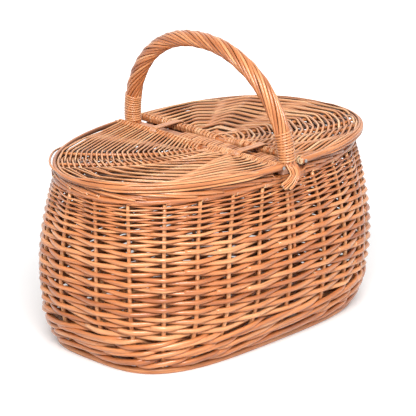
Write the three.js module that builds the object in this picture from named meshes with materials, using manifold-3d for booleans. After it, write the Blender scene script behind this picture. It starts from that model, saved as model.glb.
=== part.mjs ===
import * as THREE from 'three';
import { mergeVertices } from 'three/addons/utils/BufferGeometryUtils.js';
import Module from 'manifold-3d';

// A lidded willow picnic basket with two flap lids and a fixed bow handle, in millimetres.
// +X runs along its length, +Y towards its back and +Z up. The origin is on the floor, under its middle.

const wasm = await Module();
wasm.setup();

// Clearances
const seatGap = 0.3; // between two pieces that touch
const legGap = 0.6; // round the leg of the bow, which bends a little in its channel
const hingeGap = 0.5; // between a lid's bar and the skein loop that it turns in
const swingGap = 1; // between a turning lid and a fixed loop beside it

// Side of the basket: half length, half width and squareness at three heights
const footHalfLength = 193.8;
const footHalfWidth = 112.6;
const footSquareness = 3.5;
const bellyHeight = 95.7;
const bellyHalfLength = 221.5;
const bellyHalfWidth = 145.3;
const bellySquareness = 2.7;
const neckHeight = 205;
const neckHalfLength = 210.5;
const neckHalfWidth = 134.3;
const neckSquareness = 2.3;
const flareBelow = 2; // how fast the side draws in below the belly
const flareAbove = 1.75; // and above it
const rimSlope = 0.012; // the rim rises a little towards +X, as woven

// Foot, base and side
const footRodHeight = 8;
const footRodWidth = 9;
const footRodRound = 1.5;
const baseLift = 1.3; // from the foot rod's top up to the base
const waleTop = 48;
const waleWall = 13;
const sideWall = 13.5;
const waleLevels = 3;
const sideLevels = 5;
const stakeCount = 26;
const stakeRadius = 2.75;
const stakeDepth = 6.75; // from the outside of the weave to a stake's middle
const stakeSides = 6;
const rowHeight = 5.95; // of a row of the side's weave, up to rowNarrowFrom
const rowNarrowing = 3.5; // how much less a row is at the neck
const rowNarrowFrom = 130;
const rowLeastRoom = 1; // from the top row's middle up to the neck
const rowBehind = 2.7; // how far in a row lies where it passes behind a stake
const rowBetween = 4.2; // and half way between two stakes
const baseThickness = 12;
const baseStickRadius = 3;
const longStickSpan = 140; // length of the base's long sticks, half
const longStickSpacing = 40; // between the long sticks' middles and the basket's long axis
const crossStickSpan = 80;
const crossStickSpacing = 85;

// Border
const borderHeight = 16;
const borderWidth = 17;
const borderOverhang = 2.5; // how far it stands out past the neck
const borderRound = 3;

// Centre lath and the notch in the border that it lies in
const lathWidth = 24;
const lathThickness = 7;
const lathInset = 3.2; // from the border's outside to the lath's ends
const notchHalfWidth = 26;
const notchDepth = 6.3;

// Handle
const bowRadius = 4.2;
const bowSides = 8;
const bowSteps = 40;
const bowLegBottom = 120;
const handleRise = 129.2;
const handleSquareness = 2.1;
const handleLean = -9.1; // the top leans towards -X
const handleDrift = 3.6; // and towards +Y
const ropingRadius = 9.8;
const ropingSides = 10;
const ropingSteps = 28;
const ropingLift = 1.5; // from the lath up to the roping's lower end, which leans a little
const tailThickness = 4.4; // the roping's rods where they run down over the border
const tailHalfWidth = 9;
const tailDrop = 15; // how far they run below the neck
const tailSweep = 10; // how far they swing sideways at their ends

// Bindings round the handle's feet, each one flat skein
const bindingTurns = 9;
const bindingPitch = 3.9;
const bindingWidth = 3.1;
const bindingThickness = 1.5;
const bindingStart = 7; // above the handle's foot
const bindingSteps = 18; // to a turn
const bindingLeastGap = 0.4;

// Lids
const lidOverhang = 2; // how far a lid's hoop stands out past the border
const leftLidSquareness = 2.05;
const rightLidSquareness = 2.45;
const hoopRadius = 4.8;
const hoopEndX = 15;
const hoopSteps = 26;
const hoopSides = 8;
const edgeEven = 36; // the hoop's corners are evenly spaced beyond this distance from the middle
const barRadius = 4.7;
const barX = 19;
const lidRest = 0.6; // between a lid's hoop and the border
const panelThickness = 8;
const panelDrop = 3.6; // from the hoop's middle down to the panel's underside
const ribRadius = 2.3;
const ribSpacing = 9;
const lidRows = 11; // nested rows of the panel's relief, each for four or five of the woven ones
const lidRays = 14; // parts that the panel's half turn is shared into; a row bends at each
const ribRays = [3, 7, 11]; // the rays that the ribs lie along
const lidRowFall = 2.3; // from where a row crosses over a rib down to where one crosses under
const lidRowSag = 2.4; // from where a row crosses over a rib down to the middle between two ribs

// Nails that hold each hoop to its bar
const nailRadius = 0.8;
const nailHeadRadius = 2.2;
const nailHeadThickness = 1;
const nailInBar = 11;

// Hinge loops of skein
const loopY = 70;
const loopWidth = 12;
const loopThickness = 3;
const loopSteps = 20;

// Worked out from the sizes above
const borderBottom = neckHeight + seatGap;
const borderTop = borderBottom + borderHeight;
const borderHalfLength = neckHalfLength + borderOverhang;
const borderHalfWidth = neckHalfWidth + borderOverhang;
const lathHalfLength = borderHalfWidth - lathInset;
const lidHalfLength = borderHalfLength + lidOverhang;
const lidHalfWidth = borderHalfWidth + lidOverhang;
const handleHalfSpan = borderHalfWidth - borderWidth / 2;
const lathBottom = borderTop - notchDepth + seatGap;
const lathTop = lathBottom + lathThickness;
const handleFootHeight = lathTop;
const hoopHeight = borderTop + lidRest + hoopRadius;
const rimAngle = Math.atan(rimSlope);
const panelX = barX + barRadius + seatGap; // from the basket's middle to a lid panel's straight edge
const pairHalfWidth = stakeRadius + bowRadius + seatGap;
const pairStakeShift = stakeRadius - pairHalfWidth;
const bowLegShift = pairHalfWidth - bowRadius;

// Colours
const willow = 0xd9925f;
const paleWillow = 0xe6b184;
const darkWillow = 0xb4693d;
const steel = 0x8f9396;

function sideOval(height) {
  const below = Math.max(0, (bellyHeight - height) / bellyHeight) ** flareBelow;
  const above = Math.max(0, (height - bellyHeight) / (neckHeight - bellyHeight)) ** flareAbove;
  const blend = (foot, belly, neck) => belly - (belly - foot) * below - (belly - neck) * above;
  return {
    halfLength: blend(footHalfLength, bellyHalfLength, neckHalfLength),
    halfWidth: blend(footHalfWidth, bellyHalfWidth, neckHalfWidth),
    squareness: blend(footSquareness, bellySquareness, neckSquareness),
  };
}

function ovalXY(angle, oval) {
  const power = 2 / oval.squareness;
  const c = Math.cos(angle);
  const s = Math.sin(angle);
  return new THREE.Vector2(
    oval.halfLength * Math.sign(c) * Math.abs(c) ** power,
    oval.halfWidth * Math.sign(s) * Math.abs(s) ** power,
  );
}

// A point of an oval ring, moved in by depth and along the ring by shift, lifted with the rim's slope.
function onOval(angle, oval, height, depth = 0, shift = 0) {
  const p = ovalXY(angle, oval);
  const power = oval.squareness - 1;
  const normal = new THREE.Vector2(
    (Math.sign(p.x) * Math.abs(p.x / oval.halfLength) ** power) / oval.halfLength,
    (Math.sign(p.y) * Math.abs(p.y / oval.halfWidth) ** power) / oval.halfWidth,
  ).normalize();
  const x = p.x - depth * normal.x - shift * normal.y;
  const y = p.y - depth * normal.y + shift * normal.x;
  return new THREE.Vector3(x, y, height + rimSlope * x * Math.min(1, height / neckHeight));
}

function onSide(angle, height, depth, shift) {
  return onOval(angle, sideOval(height), height, depth, shift);
}

// Angles that share out the neck's outline evenly, from the middle of the front, count to the round
function evenAngles(count) {
  const samples = 1440;
  const oval = sideOval(neckHeight);
  const start = -Math.PI / 2;
  const lengths = [0];
  let last = ovalXY(start, oval);
  for (let i = 1; i <= samples; i += 1) {
    const next = ovalXY(start + (2 * Math.PI * i) / samples, oval);
    lengths.push(lengths[i - 1] + last.distanceTo(next));
    last = next;
  }
  const angles = [];
  let k = 0;
  for (let i = 0; i < count; i += 1) {
    const target = (lengths[samples] * i) / count;
    while (lengths[k + 1] < target) k += 1;
    const part = (target - lengths[k]) / (lengths[k + 1] - lengths[k]);
    angles.push(start + (2 * Math.PI * (k + part)) / samples);
  }
  return angles;
}

function signedVolume(points, faces) {
  const cross = new THREE.Vector3();
  let sum = 0;
  for (const [a, b, c] of faces) sum += points[a].dot(cross.crossVectors(points[b], points[c]));
  return sum / 6;
}

// Skins a row of outlines that have the same number of points. The row closes on itself as a ring,
// or its two ends are capped. Each four-sided patch is split along its shorter diagonal.
function skin(rows, ring = false) {
  const size = rows[0].length;
  const points = rows.flat();
  const faces = [];
  const patches = ring ? rows.length : rows.length - 1;
  for (let r = 0; r < patches; r += 1) {
    const next = (r + 1) % rows.length;
    for (let j = 0; j < size; j += 1) {
      const k = (j + 1) % size;
      const a = r * size + j;
      const b = r * size + k;
      const c = next * size + k;
      const d = next * size + j;
      if (points[a].distanceTo(points[c]) < points[b].distanceTo(points[d])) {
        faces.push([a, b, c], [a, c, d]);
      } else {
        faces.push([a, b, d], [b, c, d]);
      }
    }
  }
  if (!ring) {
    const last = (rows.length - 1) * size;
    for (let j = 1; j < size - 1; j += 1) {
      faces.push([0, j + 1, j], [last, last + j, last + j + 1]);
    }
  }
  return outwardGeometry(points, faces);
}

function outwardGeometry(points, faces) {
  const outward = signedVolume(points, faces) > 0 ? faces : faces.map(([a, b, c]) => [a, c, b]);
  const geometry = new THREE.BufferGeometry();
  geometry.setAttribute('position', new THREE.Float32BufferAttribute(points.flatMap((p) => p.toArray()), 3));
  geometry.setIndex(outward.flat());
  return geometry;
}

// Joins the doubled corners of a geometry, so that it is one closed surface
function merged(geometry) {
  const copy = geometry.clone();
  for (const name of Object.keys(copy.attributes)) {
    if (name !== 'position') copy.deleteAttribute(name);
  }
  const shared = mergeVertices(copy, 1e-4);
  const index = shared.index.array;
  const kept = [];
  for (let i = 0; i < index.length; i += 3) {
    const [a, b, c] = index.slice(i, i + 3);
    if (a !== b && b !== c && c !== a) kept.push(a, b, c);
  }
  shared.setIndex(kept);
  return shared;
}

function toSolid(geometry) {
  const closed = merged(geometry);
  return new wasm.Manifold(new wasm.Mesh({
    numProp: 3,
    vertProperties: new Float32Array(closed.attributes.position.array),
    triVerts: new Uint32Array(closed.index.array),
  }));
}

function fromSolid(solid) {
  const mesh = solid.getMesh();
  const geometry = new THREE.BufferGeometry();
  geometry.setAttribute('position', new THREE.BufferAttribute(mesh.vertProperties, 3));
  geometry.setIndex(new THREE.BufferAttribute(mesh.triVerts, 1));
  return geometry;
}

function cut(geometry, cutters) {
  return fromSolid(cutters.reduce((solid, cutter) => solid.subtract(toSolid(cutter)), toSolid(geometry)));
}

function join(geometries) {
  return fromSolid(geometries.map(toSolid).reduce((whole, part) => whole.add(part)));
}

function overlap(first, second) {
  return fromSolid(toSolid(first).intersect(toSolid(second)));
}

function roundShape(radius, sides) {
  const corners = [];
  for (let i = 0; i < sides; i += 1) {
    const angle = (2 * Math.PI * i) / sides;
    corners.push(new THREE.Vector2(radius * Math.cos(angle), radius * Math.sin(angle)));
  }
  return new THREE.Shape(corners);
}

function rod(curve, radius, sides, steps) {
  const section = roundShape(radius, sides);
  return new THREE.ExtrudeGeometry(section, { extrudePath: curve, steps, bevelEnabled: false });
}

function slab(corners, depth) {
  return new THREE.ExtrudeGeometry(new THREE.Shape(corners), { depth, bevelEnabled: false });
}

function box(width, depth, height, x, y, z) {
  return new THREE.BoxGeometry(width, depth, height).translate(x, y, z);
}

function piece(name, geometry, color, roughness = 0.6, metalness = 0) {
  const solid = merged(geometry);
  solid.computeVertexNormals();
  const mesh = new THREE.Mesh(solid, new THREE.MeshStandardMaterial({ color, roughness, metalness }));
  mesh.name = name;
  return mesh;
}

// Foot rod: one long rod round the bottom edge, flat where it stands
function footRod() {
  const half = footRodHeight / 2;
  const inner = footRodWidth - footRodRound;
  const profile = [[footRodRound, 0], [0, half], [footRodRound, footRodHeight], [inner, footRodHeight],
    [footRodWidth, half], [inner, 0]];
  const rows = evenAngles(stakeCount * 2).map((angle) => profile.map(([depth, height]) =>
    onSide(angle, height, depth)));
  return skin(rows, true);
}

function evenHeights(bottom, top, levels) {
  return Array.from({ length: levels }, (_, i) => bottom + ((top - bottom) * i) / (levels - 1));
}

const waleHeights = evenHeights(footRodHeight + seatGap, waleTop, waleLevels);
const sideHeights = evenHeights(waleTop + seatGap, neckHeight, sideLevels);

// Heights of the rows of the side's weave, which are lower towards the neck
function rowHeights() {
  const heights = [];
  let height = waleTop + rowHeight / 2;
  while (height < neckHeight - rowLeastRoom) {
    heights.push(height);
    height += rowHeight - rowNarrowing * THREE.MathUtils.smoothstep(height, rowNarrowFrom, neckHeight);
  }
  return heights;
}

// A row passes in front of one stake and behind the next, and the row above it the other way about
function rowDepth(level, levels, place) {
  if (level === 0 || level === levels - 1) return 0;
  if (!Number.isInteger(place)) return rowBetween;
  return (level + place) % 2 === 0 ? rowBehind : 0;
}

// The order of a closed row's point i, which goes on counting past the row's first point
function orderOf(row, i) {
  if (i > row.length) return Infinity;
  return i < row.length ? row[i].order : row[0].order + stakeCount;
}

// Triangles between two closed rows of points. The rows may differ in count: at each step the row goes on
// whose next point has the lower order, and where the orders are alike both do.
function strip(first, second) {
  const faces = [];
  let i = 0;
  let j = 0;
  while (i < first.length || j < second.length) {
    const a = first[i % first.length];
    const b = first[(i + 1) % first.length];
    const c = second[(j + 1) % second.length];
    const d = second[j % second.length];
    const firstOrder = orderOf(first, i + 1);
    const secondOrder = orderOf(second, j + 1);
    const crossing = a.point.distanceTo(c.point) < b.point.distanceTo(d.point);
    if (firstOrder < secondOrder) faces.push([a, b, d]);
    else if (firstOrder > secondOrder) faces.push([a, c, d]);
    else faces.push(...(crossing ? [[a, b, c], [a, c, d]] : [[a, b, d], [b, c, d]]));
    if (firstOrder <= secondOrder) i += 1;
    if (firstOrder >= secondOrder) j += 1;
  }
  return faces;
}

// The order of a wall's columns, in stakes, settles how its two faces are joined along top and bottom:
// round a channel, the face without one is joined to the channel's floor and not to its sides.
const mouthOrder = 0.3;
const floorOrder = 0.15;
const betweenOrder = 0.5;
const betweenPlainOrder = 0.2;

// Columns of points round one face of a wall: two at each stake's channel mouth and two at its floor, or
// one at the stake where its channel opens to the other face, and one between this stake and the next
function wallColumns(outer, wall, seat) {
  const angles = evenAngles(stakeCount * 2);
  const surface = outer ? 0 : wall;
  const columns = [];
  for (let i = 0; i < stakeCount; i += 1) {
    const channel = seat(i);
    const here = channel.opensOut === outer;
    if (here) {
      const mouth = [mouthOrder, surface];
      const floor = [floorOrder, channel.floor];
      for (const [side, [order, depth]] of [[-1, mouth], [-1, floor], [1, floor], [1, mouth]]) {
        const shift = channel.middle + side * channel.halfWidth;
        columns.push({ order: i + side * order, angle: angles[2 * i], depth, shift });
      }
    } else {
      columns.push({ order: i, angle: angles[2 * i], depth: surface, shift: 0, place: i });
    }
    const between = { angle: angles[2 * i + 1], depth: surface, shift: 0, place: i + 0.5 };
    columns.push({ order: i + (here ? betweenOrder : betweenPlainOrder), ...between });
  }
  return columns;
}

// A woven wall with a channel for each stake. The points run up its outside and down its inside.
function wovenWall({ outerHeights, innerHeights, wall, seat, relief }) {
  const ring = (columns, height, depthAt) => columns.map((column) => ({
    order: column.order,
    point: onSide(column.angle, height, column.depth + depthAt(column), column.shift),
  }));
  const outer = wallColumns(true, wall, seat);
  const inner = wallColumns(false, wall, seat);
  const levels = outerHeights.length;
  const rows = outerHeights.map((height, level) => ring(outer, height, ({ place }) =>
    (relief && place !== undefined ? rowDepth(level, levels, place) : 0)));
  for (const height of innerHeights.toReversed()) rows.push(ring(inner, height, () => 0));
  const corners = rows.flat();
  corners.forEach((corner, index) => { corner.index = index; });
  const faces = rows.flatMap((row, r) => strip(row, rows[(r + 1) % rows.length]));
  const triangles = faces.map((face) => face.map(({ index }) => index));
  return outwardGeometry(corners.map(({ point }) => point), triangles);
}

// Where stake i stands beside its column's middle. The two middle ones stand beside the bow's legs.
function stakeShift(i) {
  return i % (stakeCount / 2) === 0 ? pairStakeShift : 0;
}

// The channel that holds a stake on its own, open to the inside of the basket
function stakeChannel(i) {
  const halfWidth = stakeRadius + seatGap;
  return { opensOut: false, middle: stakeShift(i), halfWidth, floor: stakeDepth - halfWidth };
}

// In the side, the two middle stakes share a channel with the bow's legs, open to the outside
function sideChannel(i) {
  if (stakeShift(i) === 0) return stakeChannel(i);
  const halfWidth = pairHalfWidth + legGap;
  return { opensOut: true, middle: 0, halfWidth, floor: stakeDepth + bowRadius + legGap };
}

function sidePath(angle, shift, bottom, top, steps) {
  const points = [];
  for (let i = 0; i <= steps; i += 1) {
    points.push(onSide(angle, bottom + ((top - bottom) * i) / steps, stakeDepth, shift));
  }
  return points;
}

// A stake has a corner at each height where the walls have one, so that it keeps its gap in its channels
function stake(i, angle) {
  const shift = stakeShift(i);
  const low = [waleHeights[0] + seatGap, ...waleHeights.slice(1)];
  const high = [...sideHeights.slice(1, -1), neckHeight - seatGap];
  return skin([...low, ...high].map((height) => roundShape(stakeRadius, stakeSides).getPoints().map((p) =>
    onSide(angle, height, stakeDepth + p.x, shift + p.y))));
}

// Base: an oval woven slab, with long sticks let into its top and cross sticks into its underside
const baseBottom = footRodHeight + baseLift;
const stickCut = baseStickRadius * 2 + seatGap;

function baseStickBox(span, across, long) {
  const width = stickCut + seatGap;
  const length = 2 * (span + seatGap);
  if (long) return box(length, width, 2 * stickCut, 0, across, baseBottom + baseThickness);
  return box(width, length, 2 * stickCut, across, 0, baseBottom);
}

function baseStick(span, across, long) {
  const geometry = new THREE.CylinderGeometry(baseStickRadius, baseStickRadius, 2 * span, 8);
  const top = baseBottom + baseThickness - baseStickRadius;
  if (long) return geometry.rotateZ(Math.PI / 2).translate(0, across, top);
  return geometry.translate(across, 0, baseBottom + baseStickRadius);
}

const longStickPlaces = [-longStickSpacing, longStickSpacing];
const crossStickPlaces = [-crossStickSpacing, 0, crossStickSpacing];

function baseWeave() {
  const corners = evenAngles(stakeCount * 2).map((angle) => {
    const p = onSide(angle, baseBottom, waleWall + seatGap);
    return new THREE.Vector2(p.x, p.y);
  });
  return cut(slab(corners, baseThickness).translate(0, 0, baseBottom), [
    ...longStickPlaces.map((y) => baseStickBox(longStickSpan, y, true)),
    ...crossStickPlaces.map((x) => baseStickBox(crossStickSpan, x, false)),
  ]);
}

// Handle: the bow's middle line, from the front leg over the top to the back leg
function archPoint(part) {
  const angle = Math.PI * part;
  const up = Math.sin(angle) ** (2 / handleSquareness);
  const along = Math.cos(angle);
  const y = -handleHalfSpan * Math.sign(along) * Math.abs(along) ** (2 / handleSquareness);
  return new THREE.Vector3(handleLean * up, y + handleDrift * up, handleFootHeight + handleRise * up);
}

const archSamples = 48;
const archPoints = Array.from({ length: archSamples + 1 }, (_, i) => archPoint(i / archSamples));
const archCurve = new THREE.CatmullRomCurve3(archPoints, false, 'centripetal');
const archLength = archCurve.getLength();
const legAngles = [-Math.PI / 2, Math.PI / 2];
const legTop = neckHeight + seatGap * 4;
const frontLeg = sidePath(legAngles[0], bowLegShift, bowLegBottom, legTop, 3);
const backLeg = sidePath(legAngles[1], bowLegShift, bowLegBottom, legTop, 3).reverse();
const bowCurve = new THREE.CatmullRomCurve3([...frontLeg, ...archPoints, ...backLeg], false, 'centripetal');

function bow(radius) {
  return rod(bowCurve, radius, bowSides, bowSteps);
}

const bowTunnel = bow(bowRadius + seatGap);

// The roping's rods below the binding, side by side: from the handle's foot out over the border,
// down its outside, and aside to where they are tucked in under it
function ropingTail() {
  const half = tailThickness / 2;
  const outside = borderHalfWidth + seatGap + half;
  const under = sideOval(neckHeight - tailDrop).halfWidth + seatGap + half;
  const tailEnd = neckHeight - tailDrop / 2;
  const stations = [
    [0, handleHalfSpan + ropingRadius - 2 * half, lathTop + 4, 0],
    [1, outside - 0.5, lathTop, 0.05],
    [1.5, outside, borderTop - notchDepth, 0.25],
    [-tailSweep / 3, outside, borderBottom + 2, 0.6],
    [-tailSweep, under, tailEnd, 0.75],
  ];
  const outline = [[-1, -0.4], [-1, 0.4], [-0.7, 1], [0.7, 1], [1, 0.4], [1, -0.4], [0.7, -1], [-0.7, -1]];
  const rows = stations.map(([x, y, z, turn]) => outline.map(([across, out]) => new THREE.Vector3(
    x + tailHalfWidth * across * Math.cos(turn),
    -y - half * out,
    z - tailHalfWidth * across * Math.sin(turn),
  )));
  return skin(rows);
}

function roping() {
  const start = ropingLift / archLength;
  const points = Array.from({ length: ropingSteps + 1 }, (_, i) =>
    archCurve.getPointAt(start + ((1 - 2 * start) * i) / ropingSteps));
  const sleeve = rod(new THREE.CatmullRomCurve3(points), ropingRadius, ropingSides, ropingSteps);
  const tail = ropingTail();
  return cut(join([sleeve, tail, tail.clone().rotateZ(Math.PI)]), [bowTunnel]);
}

// Binding: one flat skein wound round the roping, as a helix about the handle's middle line
function bindingPath(fromStart) {
  const radius = ropingRadius + seatGap + bindingThickness / 2;
  const count = bindingTurns * bindingSteps;
  const stations = [];
  for (let i = 0; i <= count; i += 1) {
    const along = bindingStart + (bindingPitch * i) / bindingSteps;
    const part = fromStart ? along / archLength : 1 - along / archLength;
    const middle = archCurve.getPointAt(part);
    const axis = archCurve.getTangentAt(part);
    const side = new THREE.Vector3(1, 0, 0).addScaledVector(axis, -axis.x).normalize();
    const other = new THREE.Vector3().crossVectors(axis, side);
    const turn = (2 * Math.PI * i) / bindingSteps;
    const out = side.multiplyScalar(Math.cos(turn)).addScaledVector(other, Math.sin(turn));
    stations.push({ point: middle.addScaledVector(out, radius), out, axis });
  }
  const first = stations[0];
  const last = stations[count];
  const lead = (from, to) => ({
    point: to.point.clone().add(to.point.clone().sub(from.point).setLength(bindingWidth)),
    out: to.out,
    axis: to.axis,
  });
  return [lead(stations[1], first), ...stations, lead(stations[count - 1], last)];
}

// Least clear distance between one turn of a winding and the next, over the stations' points
function leastGap(stations) {
  let least = Infinity;
  for (let i = 0; i < stations.length; i += 1) {
    for (let j = i + bindingSteps / 2; j < stations.length; j += 1) {
      least = Math.min(least, stations[i].point.distanceTo(stations[j].point));
    }
  }
  return least - bindingWidth;
}

function binding(fromStart) {
  const stations = bindingPath(fromStart);
  const gap = leastGap(stations);
  console.log(`a binding's turns: least gap ${gap.toFixed(2)} mm, wanted over ${bindingLeastGap} mm`);
  const outline = [[-1, 0], [-0.6, 1], [0.6, 1], [1, 0], [0.6, -1], [-0.6, -1]];
  return skin(stations.map(({ point, out, axis }) => outline.map(([across, up]) => point.clone()
    .addScaledVector(axis, (across * bindingWidth) / 2)
    .addScaledVector(out, (up * bindingThickness) / 2))));
}

// Border: the rolled rim, notched for the centre lath and bored for the bow's legs
function border() {
  const middle = borderBottom + borderHeight / 2;
  const inner = borderWidth - borderRound;
  const profile = [[borderRound, borderBottom], [0, middle], [borderRound, borderTop],
    [inner, borderTop], [borderWidth, middle], [inner, borderBottom]];
  const oval = { halfLength: borderHalfLength, halfWidth: borderHalfWidth, squareness: neckSquareness };
  const rows = evenAngles(stakeCount * 2).map((angle) => profile.map(([depth, height]) =>
    onOval(angle, oval, height, depth)));
  const notch = box(2 * notchHalfWidth, 2.2 * borderHalfWidth, borderHeight, 0, 0,
    borderTop - notchDepth + borderHeight / 2);
  return cut(skin(rows, true), [notch, bowTunnel]);
}

function centreLath() {
  const lath = box(lathWidth, 2 * lathHalfLength, lathThickness, 0, 0, lathBottom + lathThickness / 2);
  return cut(lath, [bowTunnel]);
}

// Outline of a skein pulled tight round both lid bars and the lath's lower corners, grown by grow
function loopOutline(grow) {
  const rounds = [-1, 1].flatMap((side) => [
    { x: side * barX, z: hoopHeight + side * rimSlope * barX, radius: barRadius + hingeGap + grow },
    { x: (side * lathWidth) / 2, z: lathBottom, radius: seatGap + grow },
  ]);
  const corners = [];
  for (let i = 0; i < loopSteps; i += 1) {
    const angle = (2 * Math.PI * (i + 0.5)) / loopSteps;
    const c = Math.cos(angle);
    const s = Math.sin(angle);
    const reach = (r) => r.x * c + r.z * s + r.radius / Math.cos(Math.PI / loopSteps);
    const far = rounds.reduce((best, r) => (reach(r) > reach(best) ? r : best));
    const radius = far.radius / Math.cos(Math.PI / loopSteps);
    corners.push(new THREE.Vector2(far.x + radius * c, far.z + radius * s));
  }
  return corners;
}

function hingeLoop(y) {
  const shape = new THREE.Shape(loopOutline(loopThickness));
  shape.holes.push(new THREE.Path(loopOutline(0)));
  const ring = new THREE.ExtrudeGeometry(shape, { depth: loopWidth, bevelEnabled: false });
  return ring.rotateX(Math.PI / 2).translate(0, y + loopWidth / 2, 0);
}

// Lid pieces, in the lid's own frame: its bar's middle line is the Y axis, and the lid lies towards +X.
// Every piece along the curved edge has its corners at the same angles.
function onEdge(squareness, angle, depth) {
  const p = onOval(angle, { halfLength: lidHalfLength, halfWidth: lidHalfWidth, squareness }, 0, depth);
  return new THREE.Vector2(p.x - barX, p.y);
}

function edgeAngle(squareness, x) {
  return Math.acos((x / lidHalfLength) ** (squareness / 2));
}

// Angles from the lid's front end to its back end, with a corner also at each distance in ends
function edgeAngles(squareness, ends) {
  const limit = edgeAngle(squareness, edgeEven);
  const even = Array.from({ length: hoopSteps + 1 }, (_, i) => limit * ((2 * i) / hoopSteps - 1));
  const extra = ends.map((x) => edgeAngle(squareness, x));
  return [...extra.map((angle) => -angle).toReversed(), ...even, ...extra];
}

function nailHole(side, length) {
  const hole = new THREE.CylinderGeometry(nailRadius + seatGap, nailRadius + seatGap, length, 8);
  return hole.translate(0, side * lidHalfWidth, 0);
}

const nailDepth = 2 * hoopRadius + nailInBar;
const nailHoles = [-1, 1].map((side) => nailHole(side, 2 * (nailDepth + seatGap)));

function lidHoop(squareness) {
  const rows = edgeAngles(squareness, [panelX, hoopEndX]).map((angle) =>
    roundShape(hoopRadius, hoopSides).getPoints().map((p) => {
      const q = onEdge(squareness, angle, hoopRadius + p.x);
      return new THREE.Vector3(q.x, q.y, p.y);
    }));
  return cut(skin(rows), nailHoles);
}

const innerDepth = 2 * hoopRadius + seatGap;

function lidBar(squareness) {
  const half = onEdge(squareness, edgeAngle(squareness, panelX), innerDepth).y;
  return cut(new THREE.CylinderGeometry(barRadius, barRadius, 2 * half, 10), nailHoles);
}

function insideEdge(x, y, oval) {
  const across = (Math.abs(x + barX) / oval.halfLength) ** oval.squareness;
  return across + (Math.abs(y) / oval.halfWidth) ** oval.squareness < 1;
}

function rayAngle(ray) {
  return Math.PI * (ray / lidRays - 0.5);
}

// A rib's start, direction and length: it fans out from the bar's middle and stops short of the hoop
function ribLine(squareness, index) {
  const angle = rayAngle(ribRays[index]);
  const direction = new THREE.Vector2(Math.cos(angle), Math.sin(angle));
  const start = new THREE.Vector2(
    barRadius + seatGap + ribRadius * Math.abs(direction.y),
    ribSpacing * (index - (ribRays.length - 1) / 2),
  );
  return { start, direction, angle, length: edgeReach(start, direction, squareness, innerDepth + ribRadius) };
}

// How far it is from a place on the lid to the edge's outline moved in by inset
function edgeReach(start, direction, squareness, inset) {
  const oval = { halfLength: lidHalfLength - inset, halfWidth: lidHalfWidth - inset, squareness };
  let length = 0;
  for (let step = lidHalfLength; step > seatGap; step /= 2) {
    const longer = length + step;
    if (insideEdge(start.x + direction.x * longer, start.y + direction.y * longer, oval)) length = longer;
  }
  return length;
}

function ribPlaced(geometry, { start, direction, angle, length }, z) {
  const middle = start.clone().addScaledVector(direction, length / 2);
  return geometry.rotateZ(angle).translate(middle.x, middle.y, z);
}

const ribHeight = ribRadius - panelDrop;

function lidRib(squareness, index) {
  const line = ribLine(squareness, index);
  const geometry = new THREE.CylinderGeometry(ribRadius, ribRadius, line.length, 8).rotateZ(-Math.PI / 2);
  return ribPlaced(geometry, line, ribHeight);
}

function ribGroove(squareness, index) {
  const line = ribLine(squareness, index);
  const extra = 4 * ribRadius;
  const height = 4 * ribRadius;
  const groove = new THREE.BoxGeometry(line.length + 2 * extra, 2 * (ribRadius + seatGap), height);
  return ribPlaced(groove, line, ribHeight + ribRadius + seatGap - height / 2);
}

// A body with the panel's relief on its top: rows nested round the middle of the bar, each of which runs
// over one rib and under the next. It reaches past the panel all round.
function lidRelief(squareness) {
  const top = panelThickness - panelDrop;
  const rim = hoopRadius;
  const fall = (row, ray) => {
    if (ray % 2 === 0) return lidRowSag;
    return (row + (ray - 1) / 2) % 2 === 0 ? lidRowFall : 0;
  };
  const nested = (row, height) => Array.from({ length: lidRays + 1 }, (_, ray) => {
    const angle = rayAngle(ray);
    const direction = new THREE.Vector2(Math.cos(angle), Math.sin(angle));
    const length = (edgeReach(new THREE.Vector2(), direction, squareness, rim) * row) / lidRows;
    const x = Math.max(direction.x * length, 0) - (ray % lidRays === 0 ? row / lidRows : 0);
    return new THREE.Vector3(x, direction.y * length, height(row, ray));
  });
  const rows = [nested(lidRows, () => -2 * panelThickness)];
  for (let row = lidRows; row > 0; row -= 1) rows.push(nested(row, (r, ray) => top - fall(r, ray)));
  return skin(rows);
}

// The lid's woven panel, grooved for its ribs and notched round the hinge loops
function lidWeave(squareness) {
  const corners = edgeAngles(squareness, [panelX]).map((angle) => onEdge(squareness, angle, innerDepth));
  for (const corner of corners) corner.x = Math.max(corner.x, panelX - barX);
  const reach = barRadius + hingeGap + loopThickness / Math.cos(Math.PI / loopSteps) + swingGap;
  const notches = [-1, 1].map((side) =>
    box(2 * reach, loopWidth + 2 * swingGap, 4 * panelThickness, 0, side * loopY, 0));
  const grooves = ribRays.map((_, index) => ribGroove(squareness, index));
  const panel = slab(corners, panelThickness).translate(0, 0, -panelDrop);
  return cut(overlap(panel, lidRelief(squareness)), [...notches, ...grooves]);
}

function nail(side) {
  const profile = [[0, 0], [nailHeadRadius, 0], [nailHeadRadius, nailHeadThickness],
    [nailRadius, nailHeadThickness], [nailRadius, nailHeadThickness + nailDepth],
    [0, nailHeadThickness + nailDepth]].map(([r, y]) => new THREE.Vector2(r, y));
  const start = lidHalfWidth + seatGap + nailHeadThickness;
  const geometry = new THREE.LatheGeometry(profile, 8);
  if (side > 0) geometry.rotateX(Math.PI);
  return geometry.translate(0, side * start, 0);
}

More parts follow.
